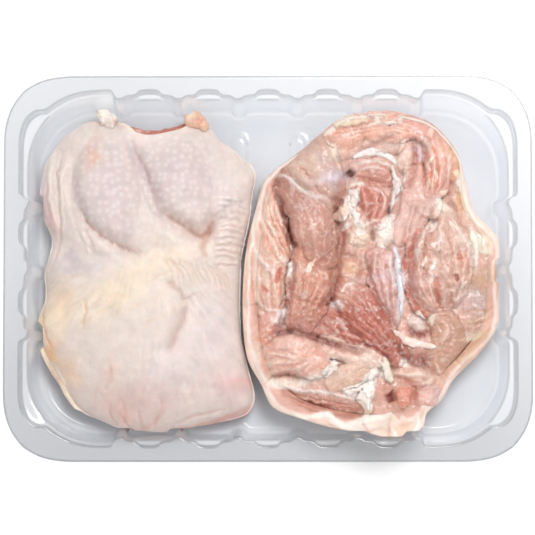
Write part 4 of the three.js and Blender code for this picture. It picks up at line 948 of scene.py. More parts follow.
# %% Left skin mesh
def left_skin_mesh(count=288):
    share, angle = disc_grid(count)
    cover = left_cover(angle)
    grid = left_shape(angle, share * cover)
    x, y = grid[..., 0], grid[..., 1]
    tint = paint(ground(CREAM, x), x, y, LEFT_PLAN, LEFT_PATCHES, 11)
    z, tint = draw(grid[..., 2].copy(), tint, x, y, LEFT_PLAN, LEFT_LINES, 13)
    grid[..., 2] += (z - grid[..., 2]) * (1 - share**8)
    # Painted light: the skin is made lighter near its edge all round, most of all on the left side that the
    # key light leaves in shade. It is also painted lighter on the fine wrinkles' ridges and darker in their
    # hollows.
    lift = 0.16 + 0.24 * ease(-np.cos(angle), 0.3, 0.9)
    tint = tint * (1 + lift * ease(share, 0.7, 1.0) + 0.07 * left_wrinkles(x, y))[..., None]
    tint = np.minimum(tint, 0.96)
    lobes = np.zeros(x.shape)
    for lx, ly, long, wide, turn, _ in LEFT_LOBES[:3]:
        off = np.hypot(*in_ellipse(x - lx, y - ly, long, wide, turn))
        lobes = np.maximum(lobes, 1 - ease(off, 0.8, 1.15))
    bumps = np.maximum(lobes, 0.5 * ease(y, -30, 20)) * (1 - ease(share, 0.95, 1))
    rim_angle, rim_cover = rim_of(angle), rim_of(cover)
    inner = []
    for part in (1.0, 0.93, 0.84, 0.7, 0.5):
        along = part * rim_cover
        inner.append(left_plain(rim_angle, along) - shape_normal(left_plain, rim_angle, along) * SKIN)
    middle = [*LEFT_CENTRE, LEFT_TOP - SKIN - 10]
    for ring, drop in zip(inner[2:], (2.0, 6.0, 9.0)):
        ring[:, 2] -= drop
    return close_shell("left_skin_sheet", grid, inner, middle, {"tint": tint, "bumps": bumps})


left_skin = left_skin_mesh()

# %% [markdown]
# ## Feather follicles
# Plucked skin keeps a small pale bump at each follicle, about 4 mm apart, most plainly where it
# is stretched over a lobe. They repeat all over a surface, so a Geometry Nodes tree raises them:
# a cell texture gives the distance to the nearest follicle, and each place moves out along its
# normal by a round profile of that distance.

# %% Follicle tree
# Each input of the tree: its kind, and the value that it starts with.
TREE_INPUTS = {
    "Geometry": ("Geometry", None), "Material": ("Material", None), "Spacing": ("Float", 0.0042),
    "Height": ("Float", 0.0003), "Width": ("Float", 0.34), "Scatter": ("Float", 0.55), "Seed": ("Float", 4),
}


def follicle_tree():
    tree = bpy.data.node_groups.new("follicles", "GeometryNodeTree")
    for name, (kind, value) in TREE_INPUTS.items():
        made = tree.interface.new_socket(name, in_out="INPUT", socket_type="NodeSocket" + kind)
        if value is not None:
            made.default_value = value
    tree.interface.new_socket("Geometry", in_out="OUTPUT", socket_type="NodeSocketGeometry")
    wires = Wiring(tree)
    given = add_node(tree, "NodeGroupInput").outputs
    place = wires.add("GeometryNodeInputPosition")
    rate = wires.math("DIVIDE", 1.0, given["Spacing"])
    apart = wires.spots(place, given["Seed"], rate, given["Scatter"])
    near = wires.span(apart, 1.0, 0.0, 0.0, given["Width"], interpolation_type="SMOOTHSTEP")
    mask = wires.add("GeometryNodeInputNamedAttribute", {"Name": "bumps"}, "Attribute", data_type="FLOAT")
    lift = wires.math("MULTIPLY", wires.math("MULTIPLY", near, mask), given["Height"])
    move = wires.scaled(wires.add("GeometryNodeInputNormal"), lift)
    raised = wires.add("GeometryNodeSetPosition", {"Geometry": given["Geometry"], "Offset": move})
    real = wires.add("GeometryNodeRealizeInstances", {"Geometry": raised})
    dressed = wires.add("GeometryNodeSetMaterial", {"Geometry": real, "Material": given["Material"]})
    add_node(tree, "NodeGroupOutput", {"Geometry": dressed})
    return tree


def grow(made, tree, material, **sizes):
    """Runs a tree on an object with these inputs and keeps the result as a plain mesh."""
    modifier = made.modifiers.new(tree.name, "NODES")
    modifier.node_group = tree
    for socket in tree.interface.items_tree:
        if socket.in_out != "INPUT" or socket.name == "Geometry":
            continue
        if socket.name == "Material":
            modifier[socket.identifier] = material
        elif socket.name in sizes:
            modifier[socket.identifier] = sizes[socket.name]
    shown = made.evaluated_get(bpy.context.evaluated_depsgraph_get())
    mesh = bpy.data.meshes.new_from_object(shown)
    made.modifiers.remove(modifier)
    old = made.data
    made.data = mesh
    bpy.data.meshes.remove(old)
    mesh.name = made.name
    print(made.name, "grown by", tree.name, "-", len(mesh.polygons), "faces")
    return made


# %% [markdown]
# ## Wet skin and meat
# Light enters skin and meat, spreads a little and comes out warmer, which is subsurface
# scattering. A thin film of juice lies on top, which is the coat. The tint on the mesh gives
# the large colours, and noise gives the small ones: pale follicles, mottling and fine streaks.

# %% Skin material
def wet_surface(wires, colour, dull, relief, depths, under, juice):
    """Small relief, light that spreads under the surface, and a film of juice on top."""
    bump = wires.add("ShaderNodeBump", {"Strength": depths[0], "Distance": depths[1], "Height": relief})
    wires.finish(wires.add("ShaderNodeBsdfPrincipled", {
        "Base Color": colour, "Roughness": dull, "IOR": 1.4, "Normal": bump,
        "Subsurface Weight": under[0], "Subsurface Radius": under[1], "Subsurface Scale": under[2],
        "Coat Weight": juice[0], "Coat Roughness": juice[1]}))


FOLLICLE_SPACING = 0.0038
FOLLICLE_SCATTER = 0.7
FOLLICLE_SEED = (4, 4, 4)


def skin_material(name="raw_skin", pale=0.33):
    made = new_material(name)
    wires = Wiring(made.node_tree)
    place = wires.place()
    blotch = wires.noise(place, 160, 4)
    mottled = wires.scaled(wires.kept("tint"), wires.span(blotch, 0.84, 1.12))
    apart = wires.spots(place, FOLLICLE_SEED, 1 / FOLLICLE_SPACING, FOLLICLE_SCATTER)
    dot = wires.math("MULTIPLY", wires.span(apart, 1.0, 0.0, 0.0, 0.48), wires.kept("bumps", "Fac"))
    colour = wires.blend(wires.math("MULTIPLY", dot, pale), mottled, (0.90, 0.82, 0.76, 1))
    wet_surface(wires, colour, wires.span(blotch, 0.46, 0.62), wires.noise(place, 900, 3),
                (0.4, 0.0005), (0.35, (1.0, 0.45, 0.28), 0.004), (0.12, 0.25))
    return made


raw_skin = skin_material()
left_skin.data.materials.append(raw_skin)
grow(left_skin, follicle_tree(), raw_skin, Spacing=FOLLICLE_SPACING, Height=0.00022, Width=0.46,
     Scatter=FOLLICLE_SCATTER)
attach(left_skin, "root")
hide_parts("left_skin")


# %% Meat material
def meat_material(name="raw_meat", streaks=0.14, membrane=0.16, spread=(1.0, 0.5, 0.36)):
    """Meat whose fine streaks and white films follow the fibres kept on the mesh as "grain"."""
    made = new_material(name)
    wires = Wiring(made.node_tree)
    grain, place = wires.kept("grain", "Vector"), wires.place()
    streak = wires.noise(wires.stretched(grain, (0.10, 1.5, 1.0)), 1.0, 5, Roughness=0.6)
    film = wires.noise(wires.stretched(grain, (0.06, 0.42, 1.0)), 1.0, 6, Roughness=0.7)
    blotch = wires.noise(place, 140, 5)
    cloudy = wires.noise(place, 210, 4, Roughness=0.6, Distortion=1.2)
    dark = wires.span(streak, 1 - streaks, 1 + streaks * 0.45, 0.3, 0.7)
    patch = wires.span(blotch, 0.9, 1.08, 0.3, 0.7)
    colour = wires.scaled(wires.kept("tint"), wires.math("MULTIPLY", dark, patch))
    for layer, start, end, most, tone in (
            (film, 0.54, 0.72, membrane, (0.86, 0.74, 0.66, 1)),
            (cloudy, 0.52, 0.68, membrane * 2.4, (0.90, 0.76, 0.70, 1)),
            (cloudy, 0.46, 0.30, streaks * 2.2, (0.62, 0.22, 0.15, 1))):
        colour = wires.blend(wires.span(layer, 0.0, most, start, end), colour, tone)
    relief = wires.math("ADD", wires.math("ADD", streak, blotch), cloudy)
    wet_surface(wires, colour, wires.span(blotch, 0.25, 0.5), relief,
                (0.5, 0.0007), (0.4, spread, 0.003), (0.5, 0.1))
    return made


raw_meat = meat_material()
raw_fat = meat_material("raw_fat", streaks=0.04, membrane=0.06, spread=(0.9, 0.6, 0.5))


# %% Left meat mesh
def left_meat_mesh(count=150):
    share, angle = disc_grid(count)
    grid = left_plain(angle, share * 0.93)
    hidden = share * 0.93 < left_cover(angle) + 0.01
    normal = shape_normal(left_plain, angle, share * 0.93)
    deep = np.where(hidden, SKIN + 0.6, 0.4 + 0.35 * cloud(grid[..., 0], grid[..., 1], 2.5, 21))
    grid = grid - normal * deep[..., None]
    x, y = grid[..., 0], grid[..., 1]
    grid[..., 2] -= 5.5 * (1 - share**5)
    rim = rim_of(angle)
    below = [left_plain(rim, np.full(rim.shape, along)) for along in (0.985, 1.15)]
    patches = [(600, 145, 12, 4, 0, (196, 124, 108), 0.8), (440, 130, 8, 4, 0, (232, 196, 184), 0.8)]
    tint = paint(ground((206, 132, 114), x), x, y, LEFT_PLAN, patches, 23)
    grain = np.stack([y, x, np.zeros(x.shape)], -1)
    return close_shell("left_meat_body", grid, below, [*LEFT_CENTRE, FOOD_BASE],
                       {"tint": tint, "grain": grain})


left_meat = left_meat_mesh()
left_meat.data.materials.append(raw_meat)
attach(left_meat, "root")
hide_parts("left_meat")

# %% [markdown]
# ## Right leg: muscles side by side
# The spread leg shows its muscles as rounded strips that lie against each other. Each is a path
# with a half width and a crest height, and its own colour. The surface takes the highest strip
# at every place, so two strips meet in a crisp valley, as muscles do. Fibres run along the path.

# %% Right leg table
RIGHT_CENTRE = (50, 0)
SKIN_OUTLINE = [
    (-2.8, 44.7), (-6.3, 31.7), (-10.3, 15.8), (-12.4, -0.2), (-12.8, -25.1), (-10.3, -44.1),
    (-3.8, -56.1), (2.1, -67.6), (16.1, -73.5), (33.6, -78.5), (48.6, -80.6), (60, -83.4),
    (71, -82), (77, -77), (78.5, -71), (86.5, -64.1), (91.5, -55.1), (105.9, -40.1),
    (114, -27.6), (114.8, -7.7), (114.8, 14.8), (110.9, 20.8), (102.9, 29.7), (99, 44.7),
    (95, 58.7), (82, 73.2), (70, 77.8), (58.5, 79.6), (41.1, 77.8), (32.1, 73.2),
    (22.1, 64.4), (10.1, 56.2), (2.1, 50.4),
]
MEAT_OUTLINE = [
    (1.6, 45.2), (-1.6, 34.7), (-5.3, 17.3), (-7.4, -0.2), (-7.2, -20.2), (-5, -37.6),
    (-1, -50.1), (8.1, -60.1), (17.1, -66.1), (36.1, -71.6), (50.5, -73.1), (64, -72.1),
    (73.5, -69.1), (81, -62.1), (86, -54.1), (99.9, -39.1), (108.3, -26.1), (110.3, -10.2),
    (110.3, 11.3), (104.4, 22.8), (98.2, 33.7), (96.6, 45.7), (95.2, 57.7), (82.6, 73.2),
    (70.4, 78.4), (58.5, 80.3), (40.9, 78.4), (31.6, 73.4), (21.8, 64.4), (10.4, 56), (4.1, 50.9),
]
# Angle, height of the skin's free edge, height of the meat's edge.
RIGHT_RISE = np.array([
    (-180, 14, 12), (-150, 14, 12), (-120, 17, 14), (-100, 24, 16), (-82, 30, 18), (-72, 26, 17),
    (-60, 16, 13), (-40, 14, 12), (-20, 17, 13), (0, 19, 14), (20, 19, 14), (40, 15, 15),
    (55, 12, 18), (75, 10, 19), (105, 10, 19), (125, 11, 17), (140, 12, 15), (160, 14, 12), (180, 14, 12),
])
# Places: x, y, half width, crest height. Then colour and fibre strength.
RELIEF = {
    "long_muscle": ([(12, 45.6, 6.7, 24), (22, 24.5, 10.6, 30), (25.9, 8.9, 8.3, 28)],
     (180, 127, 112), 0.3),
    "torn_muscle": ([(20.9, 3.3, 9.5, 27), (20.9, -10, 10, 27), (16.4, -25.6, 6.7, 22)],
     (212, 152, 130), 1.6),
    "fan": ([(3.1, 37.8, 4.4, 22), (0.9, 13.3, 7.8, 23), (0.9, -12.2, 7.2, 20)], (234, 196, 180), 1.2),
    "fan_foot": ([(0.9, -21.1, 5.6, 19), (-0.2, -31.1, 4.4, 20), (0.6, -41.2, 4.4, 21)],
     (222, 158, 136), 1),
    "corner_lobe": ([(2.7, -43.4, 7.3, 25), (11.9, -41.2, 10, 27), (23.1, -45.6, 8.3, 25)],
     (222, 166, 148), 0.4),
    "ridge": ([(28.7, -36.7, 4.4, 22), (42, -41.2, 5, 24), (53.1, -45, 3.9, 24)], (236, 206, 190), 0.6),
    "low_middle": ([(33.1, -56.7, 4.4, 21), (43.1, -51.2, 6.1, 24), (50.9, -47.8, 4.4, 22)],
     (228, 190, 168), 0.8),
    "bottom_strip": ([(11.4, -60.2, 3.9, 17), (28.7, -65.1, 5, 19), (49.8, -69.2, 3.3, 19)],
     (182, 122, 102), 0.8),
    "centre_upper": ([(37.6, -10, 6.7, 24), (50.9, -24.5, 9.5, 27), (65.4, -42.3, 4.4, 22)],
     (182, 104, 86), 0.9),
    "centre_lower": ([(28.7, -22.3, 5, 19), (39.8, -32.3, 6.1, 21), (55.4, -41.2, 3.9, 20)],
     (180, 100, 84), 0.9),
    "centre_long": ([(55.4, 6.7, 6.1, 24), (57.6, -7.8, 6.7, 25), (62, -24.5, 3.9, 22)],
     (216, 168, 156), 0.7),
    "core": ([(46.5, 40, 5.6, 21), (52, 34.5, 6.7, 22), (55.4, 25.6, 5, 21)], (196, 108, 88), 1.2),
    "hood": ([(44.2, 47.8, 3.3, 19), (52, 48.9, 5, 21), (59.8, 45.6, 3.3, 20)], (206, 142, 124), 0.8),
    "pale_top": ([(46.5, 60.6, 3.3, 20), (55.4, 63.4, 5, 22), (63.2, 63.9, 3.9, 22)], (226, 192, 178), 0.6),
    "top_band": ([(42, 72.3, 4.4, 22), (57.6, 70, 5.6, 25), (72, 70.6, 5.6, 26)], (229, 172, 152), 0.5),
    "top_corner": ([(73.2, 71.3, 5.6, 25), (78.7, 69, 5.6, 26), (80.9, 65.6, 4.4, 24)],
     (226, 168, 150), 0.5),
    "top_left": ([(33.1, 67.8, 5, 22), (38.7, 66.2, 6.7, 24), (39.8, 61.1, 5.6, 22)], (228, 182, 164), 0.6),
    "column": ([(73.2, 47.8, 5.6, 24), (74.3, 36.7, 6.7, 24), (67.6, 17.8, 5, 21)], (230, 188, 176), 0.25),
    "cross": ([(74.3, 35.6, 5.6, 24), (80.9, 33.3, 6.1, 25)], (230, 190, 176), 0.25),
    "ragged": ([(84.3, 63.4, 5, 25), (84.8, 52.3, 6.1, 27), (82.6, 41.1, 5.6, 26)], (228, 172, 154), 1.6),
    "top_right_edge": ([(85.4, 65.7, 4.4, 20), (91.7, 56.8, 5, 20), (92.3, 48.9, 4.4, 20)],
     (232, 176, 142), 0.5),
    "right_fat": ([(96.7, 43.4, 4.4, 17), (98, 35.6, 5, 17), (103.5, 20.2, 5, 17)], (242, 224, 196), 0.5),
    "right_plate": ([(105.9, 13.3, 5.5, 17), (106, -6.7, 6.2, 17.5), (102.5, -22.3, 6.2, 17)],
     (182, 148, 122), 0.4),
    "right_low": ([(87.6, -25.6, 6.7, 22), (90, -34.5, 8.3, 22), (84.6, -44.6, 6.1, 20)],
     (202, 156, 132), 0.8),
    "right_low_edge": ([(104.9, -30.1, 4.6, 15), (96.8, -38.2, 4.6, 15), (87, -48.1, 4.4, 16)],
     (200, 168, 140), 0.6),
    "low_plate": ([(68.7, -38.9, 4.4, 17), (75.4, -43.4, 6.7, 18), (80.1, -46.7, 4.4, 18)],
     (150, 76, 64), 0.8),
    "low_knobs": ([(68.7, -51.2, 4.4, 20), (75.4, -52.8, 5.6, 22), (80.1, -54.5, 4.4, 20)],
     (226, 182, 162), 0.8),
    "low_bed": ([(56.5, -60.1, 6.7, 20), (66.7, -63.5, 7, 20), (76.1, -60.4, 5.6, 19)],
     (214, 162, 142), 0.8),
    "lobe_rim": ([(73.2, 17.8, 4.4, 23), (72, 0, 5, 24), (78.7, -18.9, 5, 23)], (206, 116, 92), 0.9),
    "fat_drip": ([(48.1, -61.9, 3, 23), (49, -65.6, 2.7, 22), (49.8, -69.5, 2, 22)], (245, 232, 211), 0.2),
    "fat_nub": ([(35.9, 26.1, 2.2, 24), (37.4, 29.1, 2.2, 24), (38.7, 32.2, 2, 23)], (244, 226, 208), 0.2),
    "fat_top": ([(34.2, 73.3, 1.3, 24), (39.8, 75.4, 1.8, 25), (47.6, 75, 2, 25)], (241, 223, 194), 0.2),
    "grey_strand": ([(62, 52.3, 1.1, 23), (64.4, 43.4, 1.8, 24), (60.9, 31.1, 1.1, 23)],
     (230, 223, 218), 0.3),
    "fat_point": ([(57, -45, 1.6, 25), (58.7, -48.4, 2.4, 24), (60.9, -52.4, 2.6, 23)],
     (244, 232, 212), 0.2),
    "edge_fat": ([(107, 17.8, 1.6, 19), (107.4, 12.8, 1.9, 20), (107.4, 7.8, 1.7, 19)],
     (239, 217, 186), 0.2),
}
skin_radius = outline_radius(SKIN_OUTLINE, RIGHT_CENTRE)
meat_radius = outline_radius(MEAT_OUTLINE, RIGHT_CENTRE)
relief_paths = {name: smooth_curve(knots, 12) for name, (knots, _, _) in RELIEF.items()}


def rise_at(angle, column):
    turned = turned_degrees(angle)
    at = np.clip(np.searchsorted(RIGHT_RISE[:, 0], turned) - 1, 0, len(RIGHT_RISE) - 2)
    share = ease(turned, RIGHT_RISE[at, 0], RIGHT_RISE[at + 1, 0])
    return RIGHT_RISE[at, column] * (1 - share) + RIGHT_RISE[at + 1, column] * share


# %% Creases, holes, films and fat on the right meat
DARK = (150, 82, 70)
FILM = (248, 236, 228)
FAT = (247, 234, 220)
# The sunk lines are creases and holes, drawn dark: partly the deep red of the meat there, partly painted
# shade in them.
RIGHT_LINES = [
    (1.8, -3.4, (138, 64, 62), 0.8, [165, 350, 190, 430, 215, 520, 250, 620, 264, 672]),
    (2.4, -3.6, (176, 108, 92), 0.6,
     [480, 330, 455, 480, 468, 600, 462, 690, 440, 790, 415, 880, 370, 950, 330, 1010]),
    (1.8, -2.4, (160, 100, 100), 0.6, [262, 672, 250, 760, 245, 850, 215, 930, 195, 1000, 150, 1060]),
    (2, -2.6, (150, 86, 76), 0.65, [150, 1060, 230, 1030, 330, 1050, 430, 1088, 520, 1112, 620, 1150]),
    (1.4, -1.8, DARK, 0.6, [350, 1040, 400, 1075, 470, 1095]),
    (2.2, -2.6, (184, 122, 112), 0.5, [800, 560, 775, 640, 768, 740, 778, 850, 815, 950]),
    (0.9, -2.4, (96, 52, 58), 0.8, [735, 745, 740, 790, 742, 820]),
    (1.6, -2.4, (150, 56, 50), 0.8, [768, 1015, 800, 1045, 838, 1050, 862, 1028]),
    (2.6, -1.6, (158, 100, 88), 0.6, [735, 1110, 800, 1150, 870, 1180]),
    (1.3, -2, (128, 70, 62), 0.6, [705, 1080, 735, 1130, 790, 1175, 850, 1195]),
    (2.2, -4.5, (126, 28, 22), 0.95, [680, 1300, 692, 1325, 694, 1350]),
    (1.8, -4, (84, 22, 20), 0.95, [503, 308, 514, 322, 524, 338]),
    (0.9, -1.8, (70, 30, 34), 0.9, [692, 470, 684, 484, 679, 498]),
    (1.4, -1.6, (196, 130, 112), 0.5, [520, 245, 600, 200, 690, 160, 720, 150]),
    (1.5, -2, (196, 128, 112), 0.6, [795, 190, 806, 250, 790, 330, 760, 400]),
    (1.2, -1.8, (192, 104, 86), 0.6, [850, 200, 852, 280, 848, 350, 852, 410]),
    (1.5, -1.8, (198, 120, 100), 0.5, [960, 330, 945, 400, 960, 440, 1000, 500]),
    (2, -2, (150, 84, 66), 0.6, [190, 1290, 300, 1350, 400, 1385, 500, 1410, 600, 1402]),
    (1.6, -1.6, (190, 118, 96), 0.5, [470, 700, 520, 690, 560, 740, 545, 800]),
    (1.4, -1.6, (188, 128, 118), 0.5, [598, 700, 600, 790, 630, 880, 690, 960]),
    (1.4, -2, (160, 96, 84), 0.6, [640, 900, 690, 970, 712, 1030]),
    (1.6, -1.8, (198, 140, 118), 0.5, [1170, 1010, 1080, 1090, 1010, 1150, 950, 1200]),
    (1.2, -1.4, (206, 150, 128), 0.5, [1110, 1040, 1040, 1100, 985, 1170]),
    (1.3, -1.4, (204, 136, 120), 0.5, [900, 960, 955, 985, 965, 1050, 930, 1110]),
    (1.4, -1.6, (196, 120, 100), 0.5, [700, 1240, 760, 1250, 800, 1290, 790, 1350]),
    (1.2, -1.4, (190, 118, 104), 0.5, [420, 560, 440, 630, 400, 700, 360, 745]),
    (1.1, -1.2, (196, 124, 108), 0.5, [290, 640, 300, 700, 355, 742]),
    (1, -1, (204, 140, 120), 0.5, [240, 880, 300, 900, 380, 930]),
    (1, 0.7, FILM, 0.8, [165, 320, 220, 332, 285, 385, 335, 420, 400, 440]),
    (0.9, 0.7, FILM, 0.8, [95, 420, 110, 500, 150, 560, 210, 610]),
    (0.8, 0.6, (240, 206, 176), 0.7, [120, 380, 140, 470, 190, 560, 236, 640]),
    (0.8, 0.6, (242, 208, 184), 0.7, [100, 520, 130, 620, 190, 700, 236, 740]),
    (0.9, 0.6, FILM, 0.7, [72, 560, 90, 680, 140, 740, 190, 800]),
    (0.8, 0.5, (242, 214, 192), 0.6, [150, 400, 175, 480, 215, 560, 250, 630]),
    (1.4, 0.8, (250, 242, 234), 0.9, [205, 710, 238, 725, 246, 770, 240, 800]),
    (1.3, 0.8, (250, 242, 232), 0.9, [218, 925, 200, 960, 165, 1000]),
    (0.9, 0.5, (250, 240, 228), 0.7, [100, 900, 150, 935, 205, 930]),
    (2.2, 0.9, FAT, 0.9, [100, 1090, 86, 1160, 96, 1220, 150, 1255, 230, 1272, 330, 1245, 400, 1205]),
    (1, 0.6, FILM, 0.8, [160, 1275, 300, 1292, 430, 1310, 560, 1345]),
    (3, 0.6, (238, 206, 188), 0.8, [420, 1270, 490, 1210, 560, 1170, 610, 1160]),
    (1.2, 0.5, (244, 226, 214), 0.6, [550, 1150, 590, 1150, 620, 1170]),
    (1.1, 0.9, (246, 238, 234), 0.9, [520, 242, 570, 222, 640, 226, 700, 250, 722, 285]),
    (0.9, 0.8, (240, 226, 222), 0.8, [545, 275, 610, 262, 670, 275, 700, 305]),
    (0.9, 0.8, (236, 216, 210), 0.7, [560, 300, 620, 292, 680, 310]),
    (0.8, 0.8, (244, 236, 232), 0.9, [745, 315, 748, 360, 722, 420, 700, 470]),
    (0.7, 0.8, (240, 230, 228), 0.9, [725, 340, 718, 390, 700, 430, 690, 500]),
    (0.9, 0.8, (248, 238, 226), 0.9, [500, 385, 545, 362, 580, 372]),
    (1.2, 0.9, (250, 240, 226), 0.9, [500, 420, 520, 480, 535, 540, 560, 570]),
    (0.9, 0.8, (248, 236, 224), 0.8, [465, 480, 480, 540, 470, 560]),
    (0.8, 0.7, (248, 238, 226), 0.8, [560, 570, 600, 540, 640, 530]),
    (1.4, 0.8, (248, 234, 214), 0.8, [425, 190, 440, 225, 455, 250]),
    (1.4, 0.7, (226, 226, 232), 0.9, [712, 640, 722, 720, 742, 840, 735, 930, 722, 1000]),
    (0.9, 0.6, (236, 232, 236), 0.8, [690, 680, 700, 760, 722, 850]),
    (1.6, 0.6, (238, 232, 232), 0.8, [440, 900, 462, 912, 478, 930]),
    (1.3, 0.8, (250, 244, 238), 0.8, [735, 1160, 760, 1170, 770, 1190]),
    (1, 0.9, (250, 240, 230), 0.9, [640, 1160, 655, 1200, 640, 1240]),
    (1, 0.8, (246, 222, 206), 0.8, [690, 1215, 750, 1225, 820, 1220, 865, 1235]),
    (0.9, 0.7, (246, 218, 198), 0.7, [880, 1170, 910, 1200, 925, 1250]),
    (1.4, 0.6, (240, 216, 204), 0.8, [850, 180, 880, 230, 862, 280]),
    (0.8, 0.7, (246, 222, 204), 0.8, [860, 250, 858, 330, 880, 400]),
    (1, 0.7, (246, 226, 206), 0.7, [905, 200, 945, 260, 955, 330]),
    (1.2, 0.8, (248, 236, 214), 0.8, [985, 320, 1020, 345, 1010, 380]),
    (2.2, 0.8, (248, 236, 216), 0.9, [1020, 350, 1050, 400, 1062, 460, 1080, 520, 1100, 570]),
    (1.6, -0.8, (222, 160, 118), 0.8, [985, 390, 1000, 440, 1012, 500]),
    (1.6, 0.7, (248, 238, 226), 0.8, [1050, 560, 1075, 640, 1075, 720, 1068, 760]),
    (1.6, 0.5, (244, 232, 214), 0.8, [1110, 590, 1140, 640, 1130, 700]),
    (1.2, 0.4, (246, 228, 200), 0.8, [1180, 600, 1188, 700, 1180, 800, 1176, 900, 1168, 1000]),
    (1, 0.5, (244, 222, 192), 0.8, [1166, 1010, 1090, 1050, 1020, 1080]),
    (1, 0.5, (242, 216, 188), 0.7, [1130, 1080, 1050, 1140, 970, 1215]),
    (1.8, 0.7, (240, 206, 190), 0.7, [905, 975, 945, 1000, 945, 1050, 905, 1080]),
    (1.3, 0.9, (250, 240, 232), 0.9, [888, 700, 884, 735, 880, 765]),
    (1.2, -1.5, (200, 120, 100), 0.6, [905, 775, 896, 850, 905, 930]),
    (1.1, -1.2, (202, 122, 98), 0.6, [985, 690, 1012, 700, 1016, 735]),
    (1, -3, (146, 44, 34), 0.95, [977, 768, 984, 785, 984, 803]),
    (1.3, -1.4, (206, 122, 96), 0.7, [996, 700, 1002, 716]),
    (0.8, 0.6, FILM, 0.7, [905, 500, 855, 560, 818, 640, 800, 720]),
    (0.8, 0.5, FILM, 0.6, [960, 500, 1000, 575, 1040, 650, 1050, 740]),
    (0.7, 0.4, FILM, 0.6, [930, 520, 908, 600, 900, 690]),
    (0.9, 0.5, (246, 224, 210), 0.6, [960, 540, 985, 610, 1000, 670]),
    (1.2, -1.2, (214, 134, 112), 0.5, [795, 690, 782, 780, 800, 870, 850, 930]),
    (0.8, 0.5, FILM, 0.6, [1040, 780, 1020, 850, 985, 900]),
    (0.9, -0.9, (206, 138, 118), 0.5, [930, 800, 960, 860, 950, 920]),
    (0.8, -1.1, (186, 108, 92), 0.6, [560, 345, 620, 350, 680, 370]),
    (0.9, -1, (196, 120, 104), 0.5, [575, 380, 585, 430, 570, 480]),
    (0.8, 0.6, (246, 232, 224), 0.7, [600, 380, 640, 400, 665, 440, 655, 500]),
    (1, -1.6, (170, 96, 82), 0.6, [600, 575, 612, 590, 606, 620]),
    (0.9, 0.6, (244, 226, 214), 0.7, [470, 870, 500, 820, 540, 815]),
    (0.8, 0.5, (240, 216, 200), 0.6, [428, 1000, 440, 980, 470, 985, 485, 1010]),
    (1, -1.2, (120, 50, 46), 0.7, [448, 1010, 462, 1022, 476, 1020]),
]


def between(one, two, count):
    """Guides spread evenly from one guide to another, each with the same number of knots."""
    one, two = np.array(one, float), np.array(two, float)
    return [(one + (two - one) * share).tolist() for share in np.linspace(0, 1, count)]


# Bundles of fibres: first guide, last guide, how many, pale colour, dark colour, lift.
BUNDLES = [
    ([92, 410, 96, 520, 150, 640, 200, 730], [188, 440, 214, 520, 240, 590, 262, 660], 9, (248, 226, 206),
     (216, 130, 112), 0.55),
    ([60, 700, 66, 800, 80, 900, 110, 1000], [220, 740, 222, 800, 220, 860, 212, 920], 8, (244, 220, 200),
     (206, 138, 118), 0.4),
    ([180, 360, 235, 470, 262, 560, 290, 660], [350, 430, 430, 500, 446, 590, 430, 690], 8, (222, 176, 160),
     (206, 152, 138), 0.12),
    ([262, 740, 250, 830, 240, 900, 230, 970], [440, 720, 420, 800, 380, 880, 330, 960], 8, (230, 180, 160),
     (196, 130, 112), 0.4),
    ([120, 1120, 170, 1110, 230, 1130, 280, 1150], [140, 1240, 220, 1230, 290, 1210, 350, 1170], 7,
     (244, 214, 198), (212, 154, 136), 0.35),
    ([480, 860, 560, 900, 640, 1000, 720, 1120], [370, 980, 470, 1050, 580, 1100, 690, 1160], 9,
     (212, 142, 126), (166, 84, 72), 0.4),
    ([180, 1290, 300, 1320, 420, 1345, 560, 1370], [220, 1330, 320, 1380, 430, 1400, 560, 1405], 5,
     (226, 170, 148), (176, 104, 84), 0.35),
    ([440, 120, 560, 105, 700, 85, 800, 100], [420, 170, 540, 150, 680, 130, 830, 160], 6, (240, 196, 178),
     (212, 144, 126), 0.35),
    ([860, 210, 870, 280, 868, 350, 860, 420], [945, 220, 962, 290, 950, 360, 930, 420], 6, (244, 204, 188),
     (202, 122, 102), 0.5),
    ([600, 680, 600, 780, 630, 880, 690, 960], [690, 680, 700, 780, 712, 880, 722, 970], 6, (234, 206, 200),
     (190, 130, 120), 0.35),
    ([780, 440, 770, 520, 750, 600, 735, 680], [860, 460, 820, 540, 790, 620, 765, 700], 5, (238, 208, 196),
     (206, 150, 138), 0.25),
    ([540, 400, 560, 440, 570, 490, 560, 540], [660, 390, 670, 440, 660, 490, 640, 530], 6, (234, 186, 170),
     (186, 106, 90), 0.45),
    ([790, 700, 800, 800, 840, 880, 900, 940], [880, 780, 890, 840, 900, 890, 920, 940], 5, (244, 214, 200),
     (214, 144, 126), 0.4),
    ([930, 560, 960, 660, 970, 780, 960, 900], [1050, 660, 1056, 740, 1040, 830, 1000, 900], 6,
     (242, 208, 192), (212, 150, 132), 0.35),
    ([1020, 940, 1080, 940, 1130, 930, 1165, 900], [960, 1180, 1030, 1130, 1100, 1070, 1160, 1010], 6,
     (236, 200, 168), (208, 158, 130), 0.3),
]
bundle_random = np.random.default_rng(19)
for first, last, count, pale, deep, lift in BUNDLES:
    for order, knots in enumerate(between(first, last, count)):
        swayed = [knot + bundle_random.uniform(-6, 6) for knot in knots]
        tone, way = (pale, lift) if order % 2 else (deep, -lift)
        RIGHT_LINES.append((bundle_random.uniform(0.5, 0.85), way, tone, 0.6, swayed))
